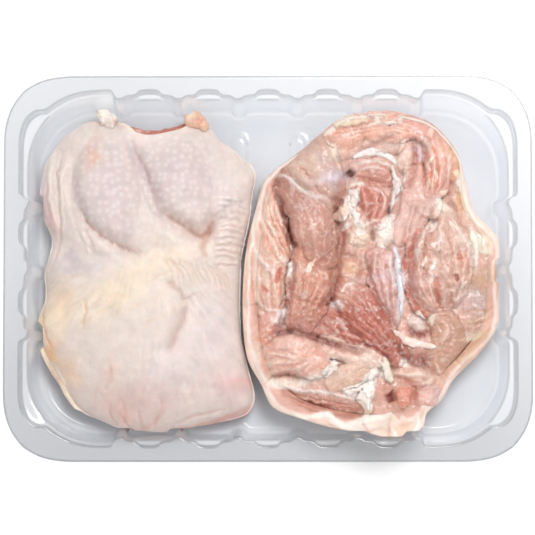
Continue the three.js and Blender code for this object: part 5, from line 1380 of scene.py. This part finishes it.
RIGHT_PATCHES = [
    (925, 470, 6, 5, 0, (249, 238, 222), 0.85), (1055, 640, 3, 8, 100, (248, 234, 216), 0.7),
    (800, 800, 4, 10, 95, (222, 138, 114), 0.5), (960, 640, 7, 8, 90, (236, 200, 186), 0.6),
    # The first patch on the next line is a painted sheen: a lavender-white reflection along the upper slab's
    # right side.
    (442, 330, 4, 14, 104, (216, 206, 218), 0.85), (300, 290, 9, 10, 60, (224, 188, 164), 0.7),
    (380, 260, 6, 12, 90, (218, 194, 186), 0.6), (660, 590, 4, 6, 90, (247, 236, 226), 0.7),
    (560, 610, 5, 4, 0, (240, 214, 192), 0.5), (200, 640, 9, 13, 100, (234, 190, 168), 0.6),
    (70, 800, 5, 22, 90, (246, 226, 206), 0.5), (150, 400, 6, 3, 100, (232, 140, 112), 0.6),
    (210, 620, 7, 3, 110, (226, 132, 112), 0.6), (140, 860, 9, 7, 80, (222, 150, 128), 0.6),
    (170, 970, 9, 5, 130, (224, 186, 184), 0.6), (330, 560, 8, 14, 100, (224, 174, 156), 0.6),
    (370, 440, 9, 7, 60, (228, 190, 186), 0.5), (310, 860, 12, 12, 0, (214, 158, 138), 0.5),
    (285, 1020, 10, 4, 0, (180, 124, 122), 0.6), (240, 1150, 14, 9, 0, (234, 188, 170), 0.5),
    (150, 1190, 7, 5, 0, (244, 214, 192), 0.6), (420, 1110, 16, 4, -12, (226, 168, 150), 0.6),
    (500, 960, 16, 8, -40, (196, 114, 96), 0.6), (400, 990, 8, 6, 30, (190, 108, 92), 0.5),
    (620, 1060, 12, 4, -40, (200, 118, 102), 0.6), (500, 850, 8, 6, 0, (226, 184, 166), 0.7),
    (505, 750, 5, 9, 80, (240, 196, 158), 0.8), (565, 720, 6, 5, 0, (238, 210, 196), 0.7),
    (640, 800, 8, 14, 100, (208, 150, 138), 0.6), (720, 800, 3, 22, 92, (214, 208, 216), 0.6),
    (800, 480, 8, 12, 100, (232, 196, 184), 0.8), (760, 560, 5, 12, 100, (232, 198, 188), 0.8),
    (790, 400, 8, 5, 0, (234, 192, 180), 0.7), (830, 150, 6, 5, 40, (240, 196, 184), 0.6),
    (470, 150, 8, 5, 20, (236, 178, 158), 0.6), (690, 130, 10, 3, 0, (242, 202, 186), 0.6),
    (250, 1090, 9, 5, 20, (240, 206, 194), 0.7), (330, 1180, 8, 3, 10, (242, 214, 202), 0.6),
    (840, 440, 8, 6, 0, (226, 182, 170), 0.6), (610, 430, 9, 9, 0, (208, 140, 126), 0.5),
    (610, 320, 10, 5, 0, (206, 150, 132), 0.6), (640, 185, 10, 4, 20, (224, 196, 184), 0.7),
    (560, 130, 12, 5, -10, (232, 176, 154), 0.6), (820, 110, 8, 6, 0, (228, 164, 152), 0.6),
    (825, 200, 3, 8, 90, (216, 184, 190), 0.6), (900, 340, 8, 12, 90, (222, 156, 136), 0.5),
    (985, 210, 5, 10, 80, (238, 182, 144), 0.7), (1130, 800, 6, 18, 90, (212, 172, 136), 0.7),
    (1060, 900, 7, 9, 80, (212, 190, 188), 0.7), (1140, 620, 5, 6, 90, (238, 214, 184), 0.6),
    (800, 1130, 10, 5, -20, (176, 118, 104), 0.6), (930, 1130, 7, 8, 60, (226, 172, 152), 0.5),
    (760, 1300, 6, 6, 0, (226, 152, 130), 0.5), (900, 1300, 5, 4, 0, (218, 188, 196), 0.6),
    (360, 1360, 22, 3.5, -10, (182, 116, 92), 0.7), (180, 1310, 6, 5, 0, (222, 150, 130), 0.5),
]


# Scraps with a crisp, torn border: place on the plan, half sizes in mm, turn, colour, lift in mm.
SCRAPS = [
    (475, 71, 4, 1.3, -20, FAT, 0.8), (542, 77, 3.5, 1.2, 15, (240, 210, 184), 0.6), (627, 65, 3, 1.5, -45,
        FAT, 0.8),
    (682, 95, 4.5, 1.3, -5, (250, 240, 230), 0.8), (737, 78, 2.5, 1.5, 60, (248, 226, 212), 0.6),
    (444, 215, 2.4, 0.9, 100, (248, 220, 200), 0.5), (871, 142, 3.2, 1.6, 110, (250, 214, 200), 0.7),
    (822, 227, 5, 1.2, 92, (226, 206, 214), 0.5), (913, 458, 3, 2.5, 120, (250, 240, 226), 0.6),
    (523, 489, 4.5, 1.6, 80, (250, 240, 232), 0.9), (481, 525, 2, 1.2, 20, (250, 242, 236), 0.8),
    (475, 476, 2.2, 1, -40, (246, 214, 198), 0.6), (688, 537, 4, 2, 70, (248, 240, 232), 0.8),
    (1016, 373, 6, 2.6, 105, (250, 242, 228), 0.8), (1071, 501, 6, 3.4, 120, (250, 242, 230), 0.8),
    (1046, 430, 5, 2.6, 110, (250, 240, 226), 0.8), (330, 745, 4, 1, 60, (248, 226, 208), 0.5),
    (505, 445, 3.6, 2.2, 90, (252, 244, 238), 0.9), (500, 560, 3, 1.4, 40, (250, 240, 234), 0.8),
    (560, 585, 3.4, 1.2, 10, (250, 236, 228), 0.6), (660, 560, 2.6, 2, 90, (252, 244, 238), 0.8),
    (610, 92, 4, 0.9, 14, (250, 232, 218), 0.5), (668, 66, 3, 1.4, 60, (246, 214, 194), 0.7),
    (560, 66, 3.4, 0.8, -15, (250, 236, 222), 0.6), (430, 130, 3.6, 1.2, 30, (250, 228, 212), 0.6),
    (462, 285, 2.2, 0.8, 110, (244, 204, 184), 0.5), (840, 170, 3, 1.4, 120, (250, 228, 214), 0.7),
    (992, 318, 2, 2, 0, (244, 226, 186), 0.6), (1102, 635, 5, 3, 100, (246, 232, 212), 0.5),
    (237, 752, 3, 1.2, 80, (252, 246, 240), 0.7), (201, 959, 4, 2, 60, (240, 228, 228), 0.4),
    (426, 1185, 3.5, 2, 50, (252, 244, 236), 0.8), (371, 1240, 4, 1.2, 20, (248, 236, 226), 0.6),
    (590, 1264, 6, 3.2, 75, (252, 246, 238), 0.8), (597, 1361, 3.5, 1.5, 100, (252, 246, 238), 0.7),
    (664, 1215, 4, 2.2, 110, (250, 238, 226), 0.8), (590, 1148, 3.5, 1.2, -30, (246, 222, 206), 0.6),
    (749, 1179, 2, 1.2, -30, (250, 244, 238), 0.7), (870, 978, 3, 1.5, 80, (246, 230, 214), 0.6),
    (925, 1227, 3.5, 2, 80, (236, 176, 154), 0.7), (858, 1252, 3, 1.5, 30, (244, 214, 196), 0.7),
    (797, 1227, 4, 1.2, 10, (246, 222, 206), 0.7), (164, 765, 4, 0.8, 85, (246, 226, 214), 0.5),
    (444, 911, 2.2, 1.2, 0, (238, 224, 222), 0.5), (737, 789, 6, 1.2, 95, (234, 232, 238), 0.5),
    (870, 789, 4, 1, 95, (250, 230, 220), 0.5), (189, 777, 5, 1.5, 80, (206, 116, 98), -0.3),
    (128, 838, 3, 1, -40, (216, 134, 114), -0.2), (176, 1398, 5, 1.5, -20, (248, 230, 210), 0.5),
    (895, 640, 2.4, 1, 40, (250, 240, 232), 0.5), (845, 720, 2.8, 0.9, 75, (248, 232, 220), 0.5),
    (930, 760, 2.6, 1, 110, (246, 222, 206), 0.5), (1010, 820, 2.4, 1, 60, (246, 224, 210), 0.4),
    (880, 560, 3, 1.2, 60, (248, 234, 222), 0.5), (975, 560, 3.2, 1.2, 125, (246, 228, 214), 0.5),
    (870, 260, 2.2, 1, 60, (250, 226, 206), 0.6), (905, 330, 2.4, 1.1, 120, (248, 222, 204), 0.6),
    (860, 370, 2, 1, 80, (246, 212, 192), 0.6), (930, 400, 2.4, 1.2, 40, (248, 226, 206), 0.6),
    (890, 215, 2.6, 1, 100, (232, 140, 112), -0.3), (880, 320, 2.2, 1.1, 70, (230, 136, 108), -0.3),
    (560, 330, 3, 0.8, -10, (176, 96, 80), -0.4), (640, 430, 4, 0.9, 95, (184, 104, 88), -0.4),
]


def lay_scraps(z, tint, x, y):
    """Lays each scrap on the meat with an edge that a fine noise tears."""
    torn_x, torn_y = drift(x, y, 91, 0.9, 0.7)
    for u, v, long, wide, turn, tone, lift in SCRAPS:
        (px, py), = on_plan(RIGHT_PLAN, (u, v))
        a, b = in_ellipse(torn_x - px, torn_y - py, long, wide, turn)
        weight = ease(1.15 - a**2 - b**2, 0.0, 0.55)
        z = z + 0.6 * lift * weight
        tint = laid(tint, tone, 0.85 * weight)
    return z, tint


# %% Height, colour and grain of the right meat
BED_COLOUR = (226, 180, 165)
BED_HEIGHT = 18.8
MELT = 1.15


def right_surface(x, y, share, angle):
    """Height, colour and fibre direction of the spread meat at each place."""
    edge = np.maximum(rise_at(angle, 2), np.minimum(rise_at(angle, 1) - 0.5, 19))
    bed = edge + (BED_HEIGHT - edge) * (1 - share**3) + 0.8 * cloud(x, y, 3.5, 41)
    total = np.exp(bed / MELT)
    tint = linear(BED_COLOUR) * total[..., None]
    best = bed.copy()
    grain = np.stack([y, x, np.zeros(x.shape)], -1)
    wave_x, wave_y = drift(x, y, 43, 1.3, 0.6)
    for number, (name, (knots, colour, fibre)) in enumerate(RELIEF.items()):
        off, side, along, carried = follow(relief_paths[name], wave_x, wave_y)
        half, crest = carried[..., 0] * 1.12, carried[..., 1]
        out = np.minimum(off / half, 1)
        strands = cloud(along * 0.28, side * 2.2, 2.0, 50 + number, 3)
        lumps = cloud(x, y, 2.6, 90 + number)
        own = crest - 0.55 * half * (1 - np.sqrt(1 - out**2)) + fibre * (0.3 * strands + 0.3 * lumps)
        own = np.where(off < half, own, -50)
        weight = np.exp(own / MELT)
        total += weight
        shade = 1 - 0.07 * ease(out, 0.5, 1.0) + 0.05 * strands
        tint += linear(colour) * (shade * weight)[..., None]
        mark = np.stack([along, side, np.full(x.shape, number * 7.3)], -1)
        grain = np.where((own > best)[..., None], mark, grain)
        best = np.maximum(best, own)
    height = MELT * np.log(total)
    tint = tint / total[..., None]
    height = height + 0.35 * cloud(x, y, 1.6, 47) * ease(cloud(x, y, 12, 48), -0.4, 0.5)
    taper = np.sqrt(np.maximum(1 - share**9, 0))
    return edge + (height - edge) * taper, tint, grain


def detailed(x, y, z, tint):
    """Adds the patches, creases, films and flecks that run over all of the right leg's meat."""
    tint = paint(tint, x, y, RIGHT_PLAN, RIGHT_PATCHES, 71)
    z, tint = draw(z, tint, x, y, RIGHT_PLAN, RIGHT_LINES, 75)
    z, tint = lay_scraps(z, tint, x, y)
    web = 1 - np.abs(cloud(x + 0.4 * y, y - 0.3 * x, 4.2, 77, 3))
    thread = ease(web, 0.9, 1.0) * ease(cloud(x, y, 14, 79), -0.2, 0.6)
    fleck = ease(cloud(x, y, 1.7, 81), 0.55, 0.9) * ease(cloud(x, y, 11, 82), -0.1, 0.7)
    z = z + 0.12 * thread + 0.2 * fleck
    return z, laid(tint, FILM, 0.14 * thread + 0.3 * fleck) * 0.96


def meat_at(x, y):
    """Height and colour of the right meat's upper side at any place on or beside it."""
    off_x, off_y = x - RIGHT_CENTRE[0], y - RIGHT_CENTRE[1]
    angle = np.arctan2(off_y, off_x)
    share = np.minimum(np.hypot(off_x, off_y) / meat_radius(angle), 0.985)
    return right_surface(x, y, share, angle)[:2]


# %% [markdown]
# ## Right leg: skin under and around the meat
# The skin is a shallow dish that holds the meat. At the near side its free edge turns over onto
# the meat like a torn flap. The width of the flap changes with the angle round the leg, and the
# lines and colours of the meat go on right up to it.

# %% Right skin shape
def skin_shape(angle, along):
    """Outer side of the right skin, from the middle of its underside up to its free edge."""
    radius = skin_radius(angle)
    flat = radius - 14
    edge = rise_at(angle, 1)
    turn = np.clip((along - 0.8) / 0.2, 0, 1) * math.pi * 0.42
    limit = math.pi * 0.42
    reach = np.where(along <= 0.8, flat * along / 0.8, flat + 14 * np.sin(turn) / math.sin(limit))
    lift = (1 - np.cos(turn)) / (1 - math.cos(limit))
    z = FOOD_BASE + (edge - FOOD_BASE) * lift
    x, y = out_from(RIGHT_CENTRE, reach, angle)
    return inside_tray(x, y, z)


# %% Right meat mesh
def right_meat_mesh(count=292):
    share, angle = disc_grid(count)
    x, y = out_from(RIGHT_CENTRE, meat_radius(angle) * share, angle)
    z, tint, grain = right_surface(x, y, share, angle)
    z, tint = detailed(x, y, z, tint)
    grid = inside_tray(x, y, z)
    rim = rim_of(angle)
    below = []
    for part in (0.93, 0.87, 0.8):
        ones = np.full(rim.shape, part)
        below.append(skin_shape(rim, ones) + shape_normal(skin_shape, rim, ones) * (SKIN + 0.35))
    return close_shell("right_meat_body", grid, below, [*RIGHT_CENTRE, FOOD_BASE + SKIN + 0.35],
                       {"tint": tint, "grain": grain})


right_meat = right_meat_mesh()
right_meat.data.materials.append(raw_meat)
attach(right_meat, "root")
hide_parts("right_meat")


# %% Right skin mesh
SKIN_PATCHES = [
    (66, 700, 6, 34, 90, (250, 234, 216), 0.85), (1170, 780, 9, 26, 90, (196, 152, 120), 0.9),
    (1080, 620, 8, 8, 90, (240, 222, 198), 0.7), (560, 1460, 26, 7, 0, (234, 222, 213), 0.95),
    (749, 1447, 4, 3, 0, (234, 190, 162), 0.8), (330, 1440, 8, 2, -12, (236, 204, 170), 0.6),
    (250, 1380, 12, 5, -20, (236, 206, 186), 0.6), (1060, 1120, 14, 8, 45, (208, 168, 140), 0.9),
    (700, 1480, 10, 5, 0, (240, 204, 178), 0.6),
]
SKIN_LINES = [
    (0.8, 0.7, (253, 246, 238), 0.7, [682, 1410, 688, 1459, 718, 1513]),
    (0.8, 0.6, (253, 246, 236), 0.8, [810, 1404, 816, 1447, 785, 1483]),
    (0.9, 0.6, (253, 246, 236), 0.8, [542, 1447, 603, 1422, 676, 1416]),
    (1, -1, (206, 164, 144), 0.7, [380, 1420, 450, 1470, 540, 1490, 640, 1470]),
    (0.9, -0.9, (204, 164, 146), 0.6, [560, 1430, 590, 1480, 600, 1530]),
    (0.9, -0.9, (214, 168, 146), 0.7, [78, 420, 60, 560, 50, 700, 44, 860, 60, 1000, 76, 1100]),
    (0.8, 0.6, (250, 238, 222), 0.7, [92, 400, 74, 560, 66, 720, 62, 880, 84, 1000, 90, 1090]),
    (0.8, -0.7, (220, 180, 156), 0.6, [40, 760, 28, 900, 30, 1040, 52, 1130]),
    (1.3, 1.1, (250, 240, 230), 0.8, [200, 1395, 300, 1420, 400, 1395, 470, 1450, 560, 1425, 680, 1400]),
    (0.9, -1, (204, 164, 144), 0.6, [690, 1400, 684, 1460, 682, 1530]),
    (1, 0.7, (248, 234, 220), 0.7, [300, 1440, 420, 1480, 560, 1500, 660, 1530]),
    (0.9, -0.8, (206, 154, 124), 0.6, [1120, 1050, 1040, 1110, 970, 1180]),
]


def flap_edge(angle):
    """Where the skin's free edge ends on the meat: it wanders in and out like a torn border."""
    marks = [-180, -150, -128, -118, -112, -106, -103, -99, -95, -92, -88, -84, -81, -79, -76, -72, -69, -62,
             -50, 0, 20, 35, 60, 120, 140, 160, 180]
    broad = [3.2, 3.2, 3, 1.8, 3.5, 8, 4.5, 3, 6, 7.5, 8.5, 10, 13, 8, 6, 6, 4.5, 2.5,
             2.2, 2, 2.2, 2.5, 1.8, 1.8, 2.2, 3, 3.2]
    width = np.interp(turned_degrees(angle), marks, broad)
    outer = skin_shape(angle, np.ones(angle.shape))
    x, y = outer[..., 0], outer[..., 1]
    width = width * (1 + 0.25 * cloud(x, y, 11, 61) + 0.10 * cloud(x, y, 4, 62))
    reach = np.maximum(width, np.hypot(x - RIGHT_CENTRE[0], y - RIGHT_CENTRE[1]) - meat_radius(angle) + 1.6)
    place = outer.copy()
    place[..., 0] -= reach * np.cos(angle)
    place[..., 1] -= reach * np.sin(angle)
    place[..., 2] = meat_at(place[..., 0], place[..., 1])[0]
    return place, outer, width, reach


def skin_tint(x, y):
    tint = paint(ground((236, 210, 198), x), x, y, RIGHT_PLAN, SKIN_PATCHES, 63)
    return draw(np.zeros(x.shape), tint, x, y, RIGHT_PLAN, SKIN_LINES, 65)


# From this share of the way out, the inside of the skin rises to the edge of the flap.
FLAP_START = 0.86


def right_skin_mesh(count=250):
    share, angle = disc_grid(count)
    along = np.where(share < 0.5, share * 1.6, 0.8 + (share - 0.5) * 0.4)
    outside = skin_shape(angle, along)
    grid = outside + shape_normal(skin_shape, angle, np.minimum(along, 0.995)) * SKIN
    near_edge = share > FLAP_START
    place = flap_edge(angle[near_edge])[0]
    place[:, 2] -= 0.6
    pull = ease(share[near_edge], FLAP_START, 1.0)[:, None]
    grid[near_edge] = grid[near_edge] * (1 - pull) + place * pull
    rim = rim_of(angle)
    inner, outer, width, reach = flap_edge(rim)
    step = np.linalg.norm(np.diff(outer[:, :2], axis=0, append=outer[:1, :2]), axis=1)
    run = np.cumsum(step)
    rings, tints = [], []
    for turn in (0.0, 0.03, 0.08, 0.15, 0.23, 0.31, 0.39, 0.47, 0.55, 0.63, 0.71, 0.79, 0.87, 0.94, 1.0):
        ring = inner + (outer - inner) * turn
        level, below = meat_at(ring[:, 0], ring[:, 1])
        across = turn * reach
        folds = cloud(across + 0.8 * cloud(run, run * 0, 9, 66), run * 0.16, 1.5, 68, 2)
        lift = (0.25 + 0.8 * math.sin(math.pi * min(turn * 1.6, 1) / 2)
                + 0.45 * folds * math.sin(math.pi * turn))
        settled = np.maximum(ring[:, 2], level) + lift
        ring[:, 2] = settled + (outer[:, 2] - settled) * turn**5
        rings.append(inside_tray(*ring.T))
        _, tint = skin_tint(ring[:, 0], ring[:, 1])
        # Painted light and shade: the flap is lighter where its folds rise and darker where they sink.
        tint = tint * (1 + 0.10 * folds)[:, None]
        _, below = draw(level.copy(), below, ring[:, 0], ring[:, 1], RIGHT_PLAN, RIGHT_LINES, 75)
        melt = ease(reach - across, width - 0.6, width + 1.2)[:, None]
        border = 0.5 * np.exp(-((reach - across - width) / 0.8) ** 2)
        tints.append(laid(tint * (1 - melt) + 0.96 * below * melt, FILM, border))
    for along_ring in (0.97, 0.93, 0.88, 0.8):
        rings.append(skin_shape(rim, np.full(rim.shape, along_ring)))
        tints.append(tints[-1])
    _, tint = skin_tint(grid[..., 0], grid[..., 1])
    return close_shell("right_skin_sheet", grid, rings, [*RIGHT_CENTRE, FOOD_BASE],
                       {"tint": tint, "bumps": 0 * share}, tints)


right_skin = right_skin_mesh()
inner_skin = skin_material("skin_inside", pale=0.3)
right_skin.data.materials.append(inner_skin)
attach(right_skin, "root")
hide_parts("right_skin")

# %% [markdown]
# ## Lobes, knobs and fat on top
# Some pieces lie clear of the bed: the thick lobe on the right, a slab at the far left, pale
# knobs of cartilage, tendons and lumps of fat. A lump starts from its outline on the plan, and
# a strip from a path. Both sink into the bed below them, so no gap shows at their foot.

# %% Lump maker
def lump_mesh(name, outline, crest, bottom, colour, rough, seed, count):
    """A closed lump from its outline on a plan: a domed, uneven top and a plain underside."""
    plan = LEFT_PLAN if name.startswith("left") else RIGHT_PLAN
    knots = on_plan(plan, outline)
    centre = tuple(np.mean(knots, axis=0))
    share, angle = disc_grid(count)
    radius = outline_radius(knots, centre)(angle)
    x, y = out_from(centre, radius * share, angle)
    x, y = drift(x, y, seed, 0.6 * rough, 0.5 * rough)
    dome = np.maximum(1 - share**2.6, 0) ** 0.75
    middle_size = float(np.median(radius))
    small = min(1.0, middle_size / 5)
    bed = meat_at(x, y)[0] if plan is RIGHT_PLAN else np.full(x.shape, float(TIP_BED))
    rise = np.clip(crest - bed, 0.6, 0.42 * middle_size + 0.6)
    z = bed - 0.8 + (rise + 0.8) * dome
    uneven = 0.5 * cloud(x, y, 5, seed + 1) + 0.35 * cloud(x, y, 2.2, seed + 2)
    z = z + small * rough * uneven * (1 - share**6)
    # Painted shade: darker toward the lump's edge, where its dome rounds down. The noise is the lump's own
    # uneven tone.
    tint = linear(colour) * (1 - 0.06 * ease(share, 0.6, 1) + 0.05 * cloud(x, y, 3, seed + 3))[..., None]
    if plan is RIGHT_PLAN:
        z, tint = detailed(x, y, z, tint)
    else:
        tint = paint(tint, x, y, LEFT_PLAN, TIP_PATCHES, seed)
    grid = inside_tray(x, y, z)
    rim = rim_of(grid)
    below = []
    for shrink, level in ((1.0, 0.35), (0.97, 0.7), (0.9, 1.0)):
        ring = rim.copy()
        ring[:, :2] = np.array(centre) + (ring[:, :2] - centre) * shrink
        ring[:, 2] += (bottom - ring[:, 2]) * level
        below.append(ring)
    grain = np.stack([y, x, np.full(x.shape, seed * 1.7)], -1)
    return close_shell(name + "_lump", grid, below, [*centre, bottom], {"tint": tint, "grain": grain})


TIP_PATCHES = [
    (320, 70, 4, 3, 30, (246, 238, 216), 0.8), (350, 120, 5, 3, 0, (228, 214, 208), 0.7),
    (385, 115, 2, 4, 90, (236, 204, 184), 0.7), (715, 85, 3.5, 3, 0, (244, 228, 200), 0.8),
    (768, 115, 5, 3, -40, (220, 150, 132), 0.85),
]
TIP_BED = 15
# Name: outline on the leg's plan, height of crest and of bottom, colour, roughness, finish.
LUMPS = {
    "right_upper_slab": ([392, 135, 432, 170, 468, 250, 492, 340, 486, 410, 462, 468, 436, 500, 395, 470,
     340, 425, 285, 380, 240, 330, 228, 280, 262, 235, 320, 185], 31, 16, (200, 164, 148), 0.2, "silk"),
    "right_thick_lobe": ([900, 446, 945, 438, 985, 480, 1015, 540, 1056, 600, 1072, 680, 1064, 770, 1042,
     850, 1002, 915, 940, 948, 868, 946, 806, 905, 770, 846, 772, 765, 788, 680, 812, 600, 858, 530], 35,
     16, (218, 176, 160), 1.2, "meat"),
    "right_finger_lobe": ([738, 172, 768, 162, 795, 175, 802, 220, 792, 270, 776, 308, 752, 322, 726, 310,
     718, 268, 724, 220], 29, 18, (238, 208, 194), 0.5, "fat"),
    "right_top_curl": ([652, 92, 658, 62, 688, 42, 722, 44, 744, 66, 738, 92, 700, 104], 28, 18,
     (236, 186, 166), 1.2, "meat"),
    "right_low_knob_a": ([716, 1280, 752, 1268, 784, 1292, 792, 1336, 776, 1372, 742, 1384, 712, 1360, 702,
     1318], 24.5, 12, (226, 162, 142), 1.2, "meat"),
    "right_low_knob_b": ([800, 1300, 840, 1278, 890, 1262, 928, 1270, 930, 1308, 906, 1352, 866, 1380, 822,
     1376, 796, 1342], 23, 12, (230, 184, 170), 1, "meat"),
    "right_cartilage_a": ([500, 590, 522, 570, 562, 568, 598, 584, 606, 612, 590, 640, 552, 654, 514, 642,
     496, 616], 24.5, 15, (236, 212, 196), 0.6, "fat"),
    "right_cartilage_b": ([632, 556, 650, 520, 686, 500, 706, 524, 710, 574, 702, 626, 676, 662, 640, 660,
     616, 626], 25, 15, (246, 228, 218), 0.6, "fat"),
    "right_cartilage_c": ([772, 982, 786, 952, 816, 940, 848, 958, 858, 994, 842, 1026, 806, 1038, 778,
     1018], 26, 15, (244, 224, 216), 1.2, "fat"),
    "right_fat_lump_a": ([378, 1232, 384, 1204, 410, 1180, 420, 1150, 448, 1146, 464, 1166, 452, 1196, 428,
     1222, 400, 1242], 27.5, 15, (253, 243, 238), 1.6, "fat"),
    "right_fat_lump_b": ([478, 1300, 530, 1262, 586, 1236, 612, 1176, 636, 1172, 640, 1222, 628, 1276, 622,
     1318, 606, 1350, 590, 1394, 566, 1366, 526, 1334], 25, 14, (252, 240, 233), 1.6, "fat"),
    "right_fat_centre": ([512, 400, 540, 380, 566, 388, 556, 430, 552, 470, 572, 512, 566, 560, 544, 572,
     528, 530, 506, 500, 516, 450], 25, 15, (251, 240, 234), 1.8, "fat"),
    "left_fat_tip": ([303, 80, 336, 65, 364, 43, 382, 48, 377, 76, 392, 93, 399, 130, 386, 150, 350, 136,
     312, 118], 24.5, 11, (236, 226, 218), 1.6, "fat"),
    "left_orange_tip": ([694, 116, 702, 80, 729, 66, 758, 80, 786, 104, 800, 136, 788, 156, 740, 146, 706,
     138], 24, 11, (232, 190, 164), 1.2, "fat"),
}


# %% Strip maker
STRIPS = {
    "right_long_tendon": ([(62.6, 12.2, 1.6, 25), (65.4, -1.1, 1.9, 26), (65.9, -22.3, 1.3, 24)],
     (228, 226, 230), 0.3),
    "right_middle_flap": ([(62.2, -29.8, 1.4, 23), (69, -34.8, 2, 23), (76.5, -36.6, 1.8, 23),
     (83.6, -38, 1.2, 23)], (244, 220, 208), 0.6),
    "right_white_arc": ([(42.2, 56.6, 1.2, 23), (50, 59.4, 1.8, 24), (58.5, 58.6, 1.8, 24),
     (64, 53.5, 1, 24)], (242, 232, 228), 0.5),
    "right_edge_fat_a": ([(100.8, 20.5, 1.4, 20), (103.3, 13.2, 1.8, 21), (103.4, 5, 1.4, 20)],
     (248, 234, 218), 0.6),
}


def strip_mesh(name, knots, colour, rough, seed, round_count=40, long_count=110):
    """A closed flattened strip along a path, thinned and roughened unevenly."""
    path = smooth_curve(knots, 60)
    step = np.hypot(*np.diff(path[:, :2], axis=0).T)
    length = np.concatenate([[0], np.cumsum(step)])
    reach = np.sin(np.linspace(-math.pi / 2, math.pi / 2, long_count)) * 0.5 + 0.5
    run = reach * length[-1]
    x0, y0, half = (np.interp(run, length, path[:, column]) for column in range(3))
    way = np.stack([np.gradient(path[:, 0]), np.gradient(path[:, 1])], 1)
    way /= np.linalg.norm(way, axis=1, keepdims=True)
    wx, wy = (np.interp(run, length, way[:, axis]) for axis in (0, 1))
    size = np.sqrt(np.maximum(1 - (2 * reach - 1) ** 6, 0))
    wide = half * size * (1 + 0.35 * rough * cloud(run, run * 0, 3.0, seed, 3))
    turn = np.linspace(0, 2 * math.pi, round_count, endpoint=False)
    across = wide[:, None] * np.cos(turn)
    up = np.sin(turn)
    bed = np.interp(run, run[::10], meat_at(x0[::10], y0[::10])[0]) + 0.25
    z = bed[:, None] + np.where(up > 0, 0.55 * half[:, None], 2.0) * up * size[:, None]
    x = x0[:, None] - wy[:, None] * across
    y = y0[:, None] + wx[:, None] * across
    z = z + 0.3 * rough * cloud(x, y, 1.6, seed + 1) * np.maximum(up, 0) * size[:, None]
    places = inside_tray(x, y, z)
    body = places[1:-1].reshape(-1, 3)
    rows = long_count - 2
    faces = tube_faces(rows, round_count).tolist()
    start, end = rows * round_count, rows * round_count + 1
    row = end - 1 - round_count
    for a, b in zip(range(round_count), np.roll(range(round_count), -1)):
        faces += [[start, b, a], [end, row + a, row + b]]
    spots = np.concatenate([body, places[:1].mean(1), places[-1:].mean(1)])
    count = len(spots)
    tint = linear(colour) * (1 + 0.06 * cloud(spots[:, 0], spots[:, 1], 2, seed + 2))[:, None]
    along = np.concatenate([np.repeat(run[1:-1], round_count), [0, run[-1]]])
    side = np.concatenate([across[1:-1].ravel(), [0, 0]])
    grain = np.stack([along, side, np.full(count, seed * 1.7)], -1)
    return make_mesh(name + "_strip", spots, faces, {"tint": tint, "grain": grain})


# %% Make the lumps and strips
silk = meat_material("silk_meat", streaks=0.05, membrane=0.06)
finishes = {"meat": raw_meat, "fat": raw_fat, "silk": silk}
small_pieces = {}
for number, (name, (outline, crest, bottom, colour, rough, kind)) in enumerate(LUMPS.items()):
    made = lump_mesh(name, outline, crest, bottom, colour, rough, 200 + 5 * number,
                     170 if name == "right_thick_lobe" else 90)
    made.data.materials.append(finishes[kind])
    small_pieces[name] = made
for number, (name, (knots, colour, rough)) in enumerate(STRIPS.items()):
    made = strip_mesh(name, knots, colour, rough, 400 + 5 * number)
    made.data.materials.append(raw_fat)
    small_pieces[name] = made
for name, made in small_pieces.items():
    tidy_mesh(made)
    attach(made, "root")
    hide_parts(name)

# %% [markdown]
# ## Studio
# The pack is photographed from almost straight above, a little from its near side, with a long
# lens. A large soft light stands at the far right, a weaker one at the left, and the floor is
# plain and pale.

# %% Floor and lights
def pale_floor():
    corners = [(-3000, -3000, -0.5), (3000, -3000, -0.5), (3000, 3000, -0.5), (-3000, 3000, -0.5)]
    made = make_mesh("floor", corners, [(0, 1, 2, 3)])
    paper = new_material("pale_paper")
    wires = Wiring(paper.node_tree)
    wires.finish(wires.add("ShaderNodeBsdfPrincipled", {
        "Base Color": (0.95, 0.95, 0.95, 1), "Roughness": 0.9}))
    made.data.materials.append(paper)
    return made


pale_floor()


def soft_light(name, place, aim, size, power, colour=(1, 1, 1)):
    data = bpy.data.lights.new(name, "AREA")
    data.shape = "RECTANGLE"
    data.size, data.size_y = size
    data.energy = power
    data.color = colour
    made = add_object(name, data)
    made.location = place
    way = mathutils.Vector(aim) - made.location
    made.rotation_euler = way.to_track_quat("-Z", "Y").to_euler()


soft_light("key", (0.30, 0.50, 1.22), (0, 0, 0.02), (0.55, 0.55), 10.5)
soft_light("fill", (-0.9, -0.2, 1.0), (0, 0, 0.02), (0.9, 0.9), 1.5)
world = bpy.data.worlds.new("studio")
world.use_nodes = True
world.node_tree.nodes["Background"].inputs["Color"].default_value = (1, 1, 1, 1)
world.node_tree.nodes["Background"].inputs["Strength"].default_value = 0.72
bpy.context.scene.world = world
bpy.context.scene.view_settings.view_transform = "Standard"

# %% Camera
VIEW_FAR = 1.6
PHOTO_WIDTH = 535
MM_PER_POINT = 0.4906
FRAME_WIDTH = PHOTO_WIDTH * MM_PER_POINT * MM
camera_data = bpy.data.cameras.new("camera")
camera_data.lens = camera_data.sensor_width * VIEW_FAR / FRAME_WIDTH
camera = add_object("camera", camera_data)
tilt = math.radians(3.3)
lean = math.radians(0.7)
camera.location = (VIEW_FAR * math.sin(lean), -VIEW_FAR * math.sin(tilt),
                   HEIGHT * MM + VIEW_FAR * math.cos(tilt))
look = mathutils.Vector((-0.0001, 0.0003, HEIGHT * MM)) - camera.location
right = look.cross(mathutils.Vector((0, 1, 0))).normalized()
upward = right.cross(look).normalized()
camera.rotation_euler = mathutils.Matrix((right, upward, -look.normalized())).transposed().to_euler()
bpy.context.scene.camera = camera
print("lens, mm:", round(camera_data.lens, 1))
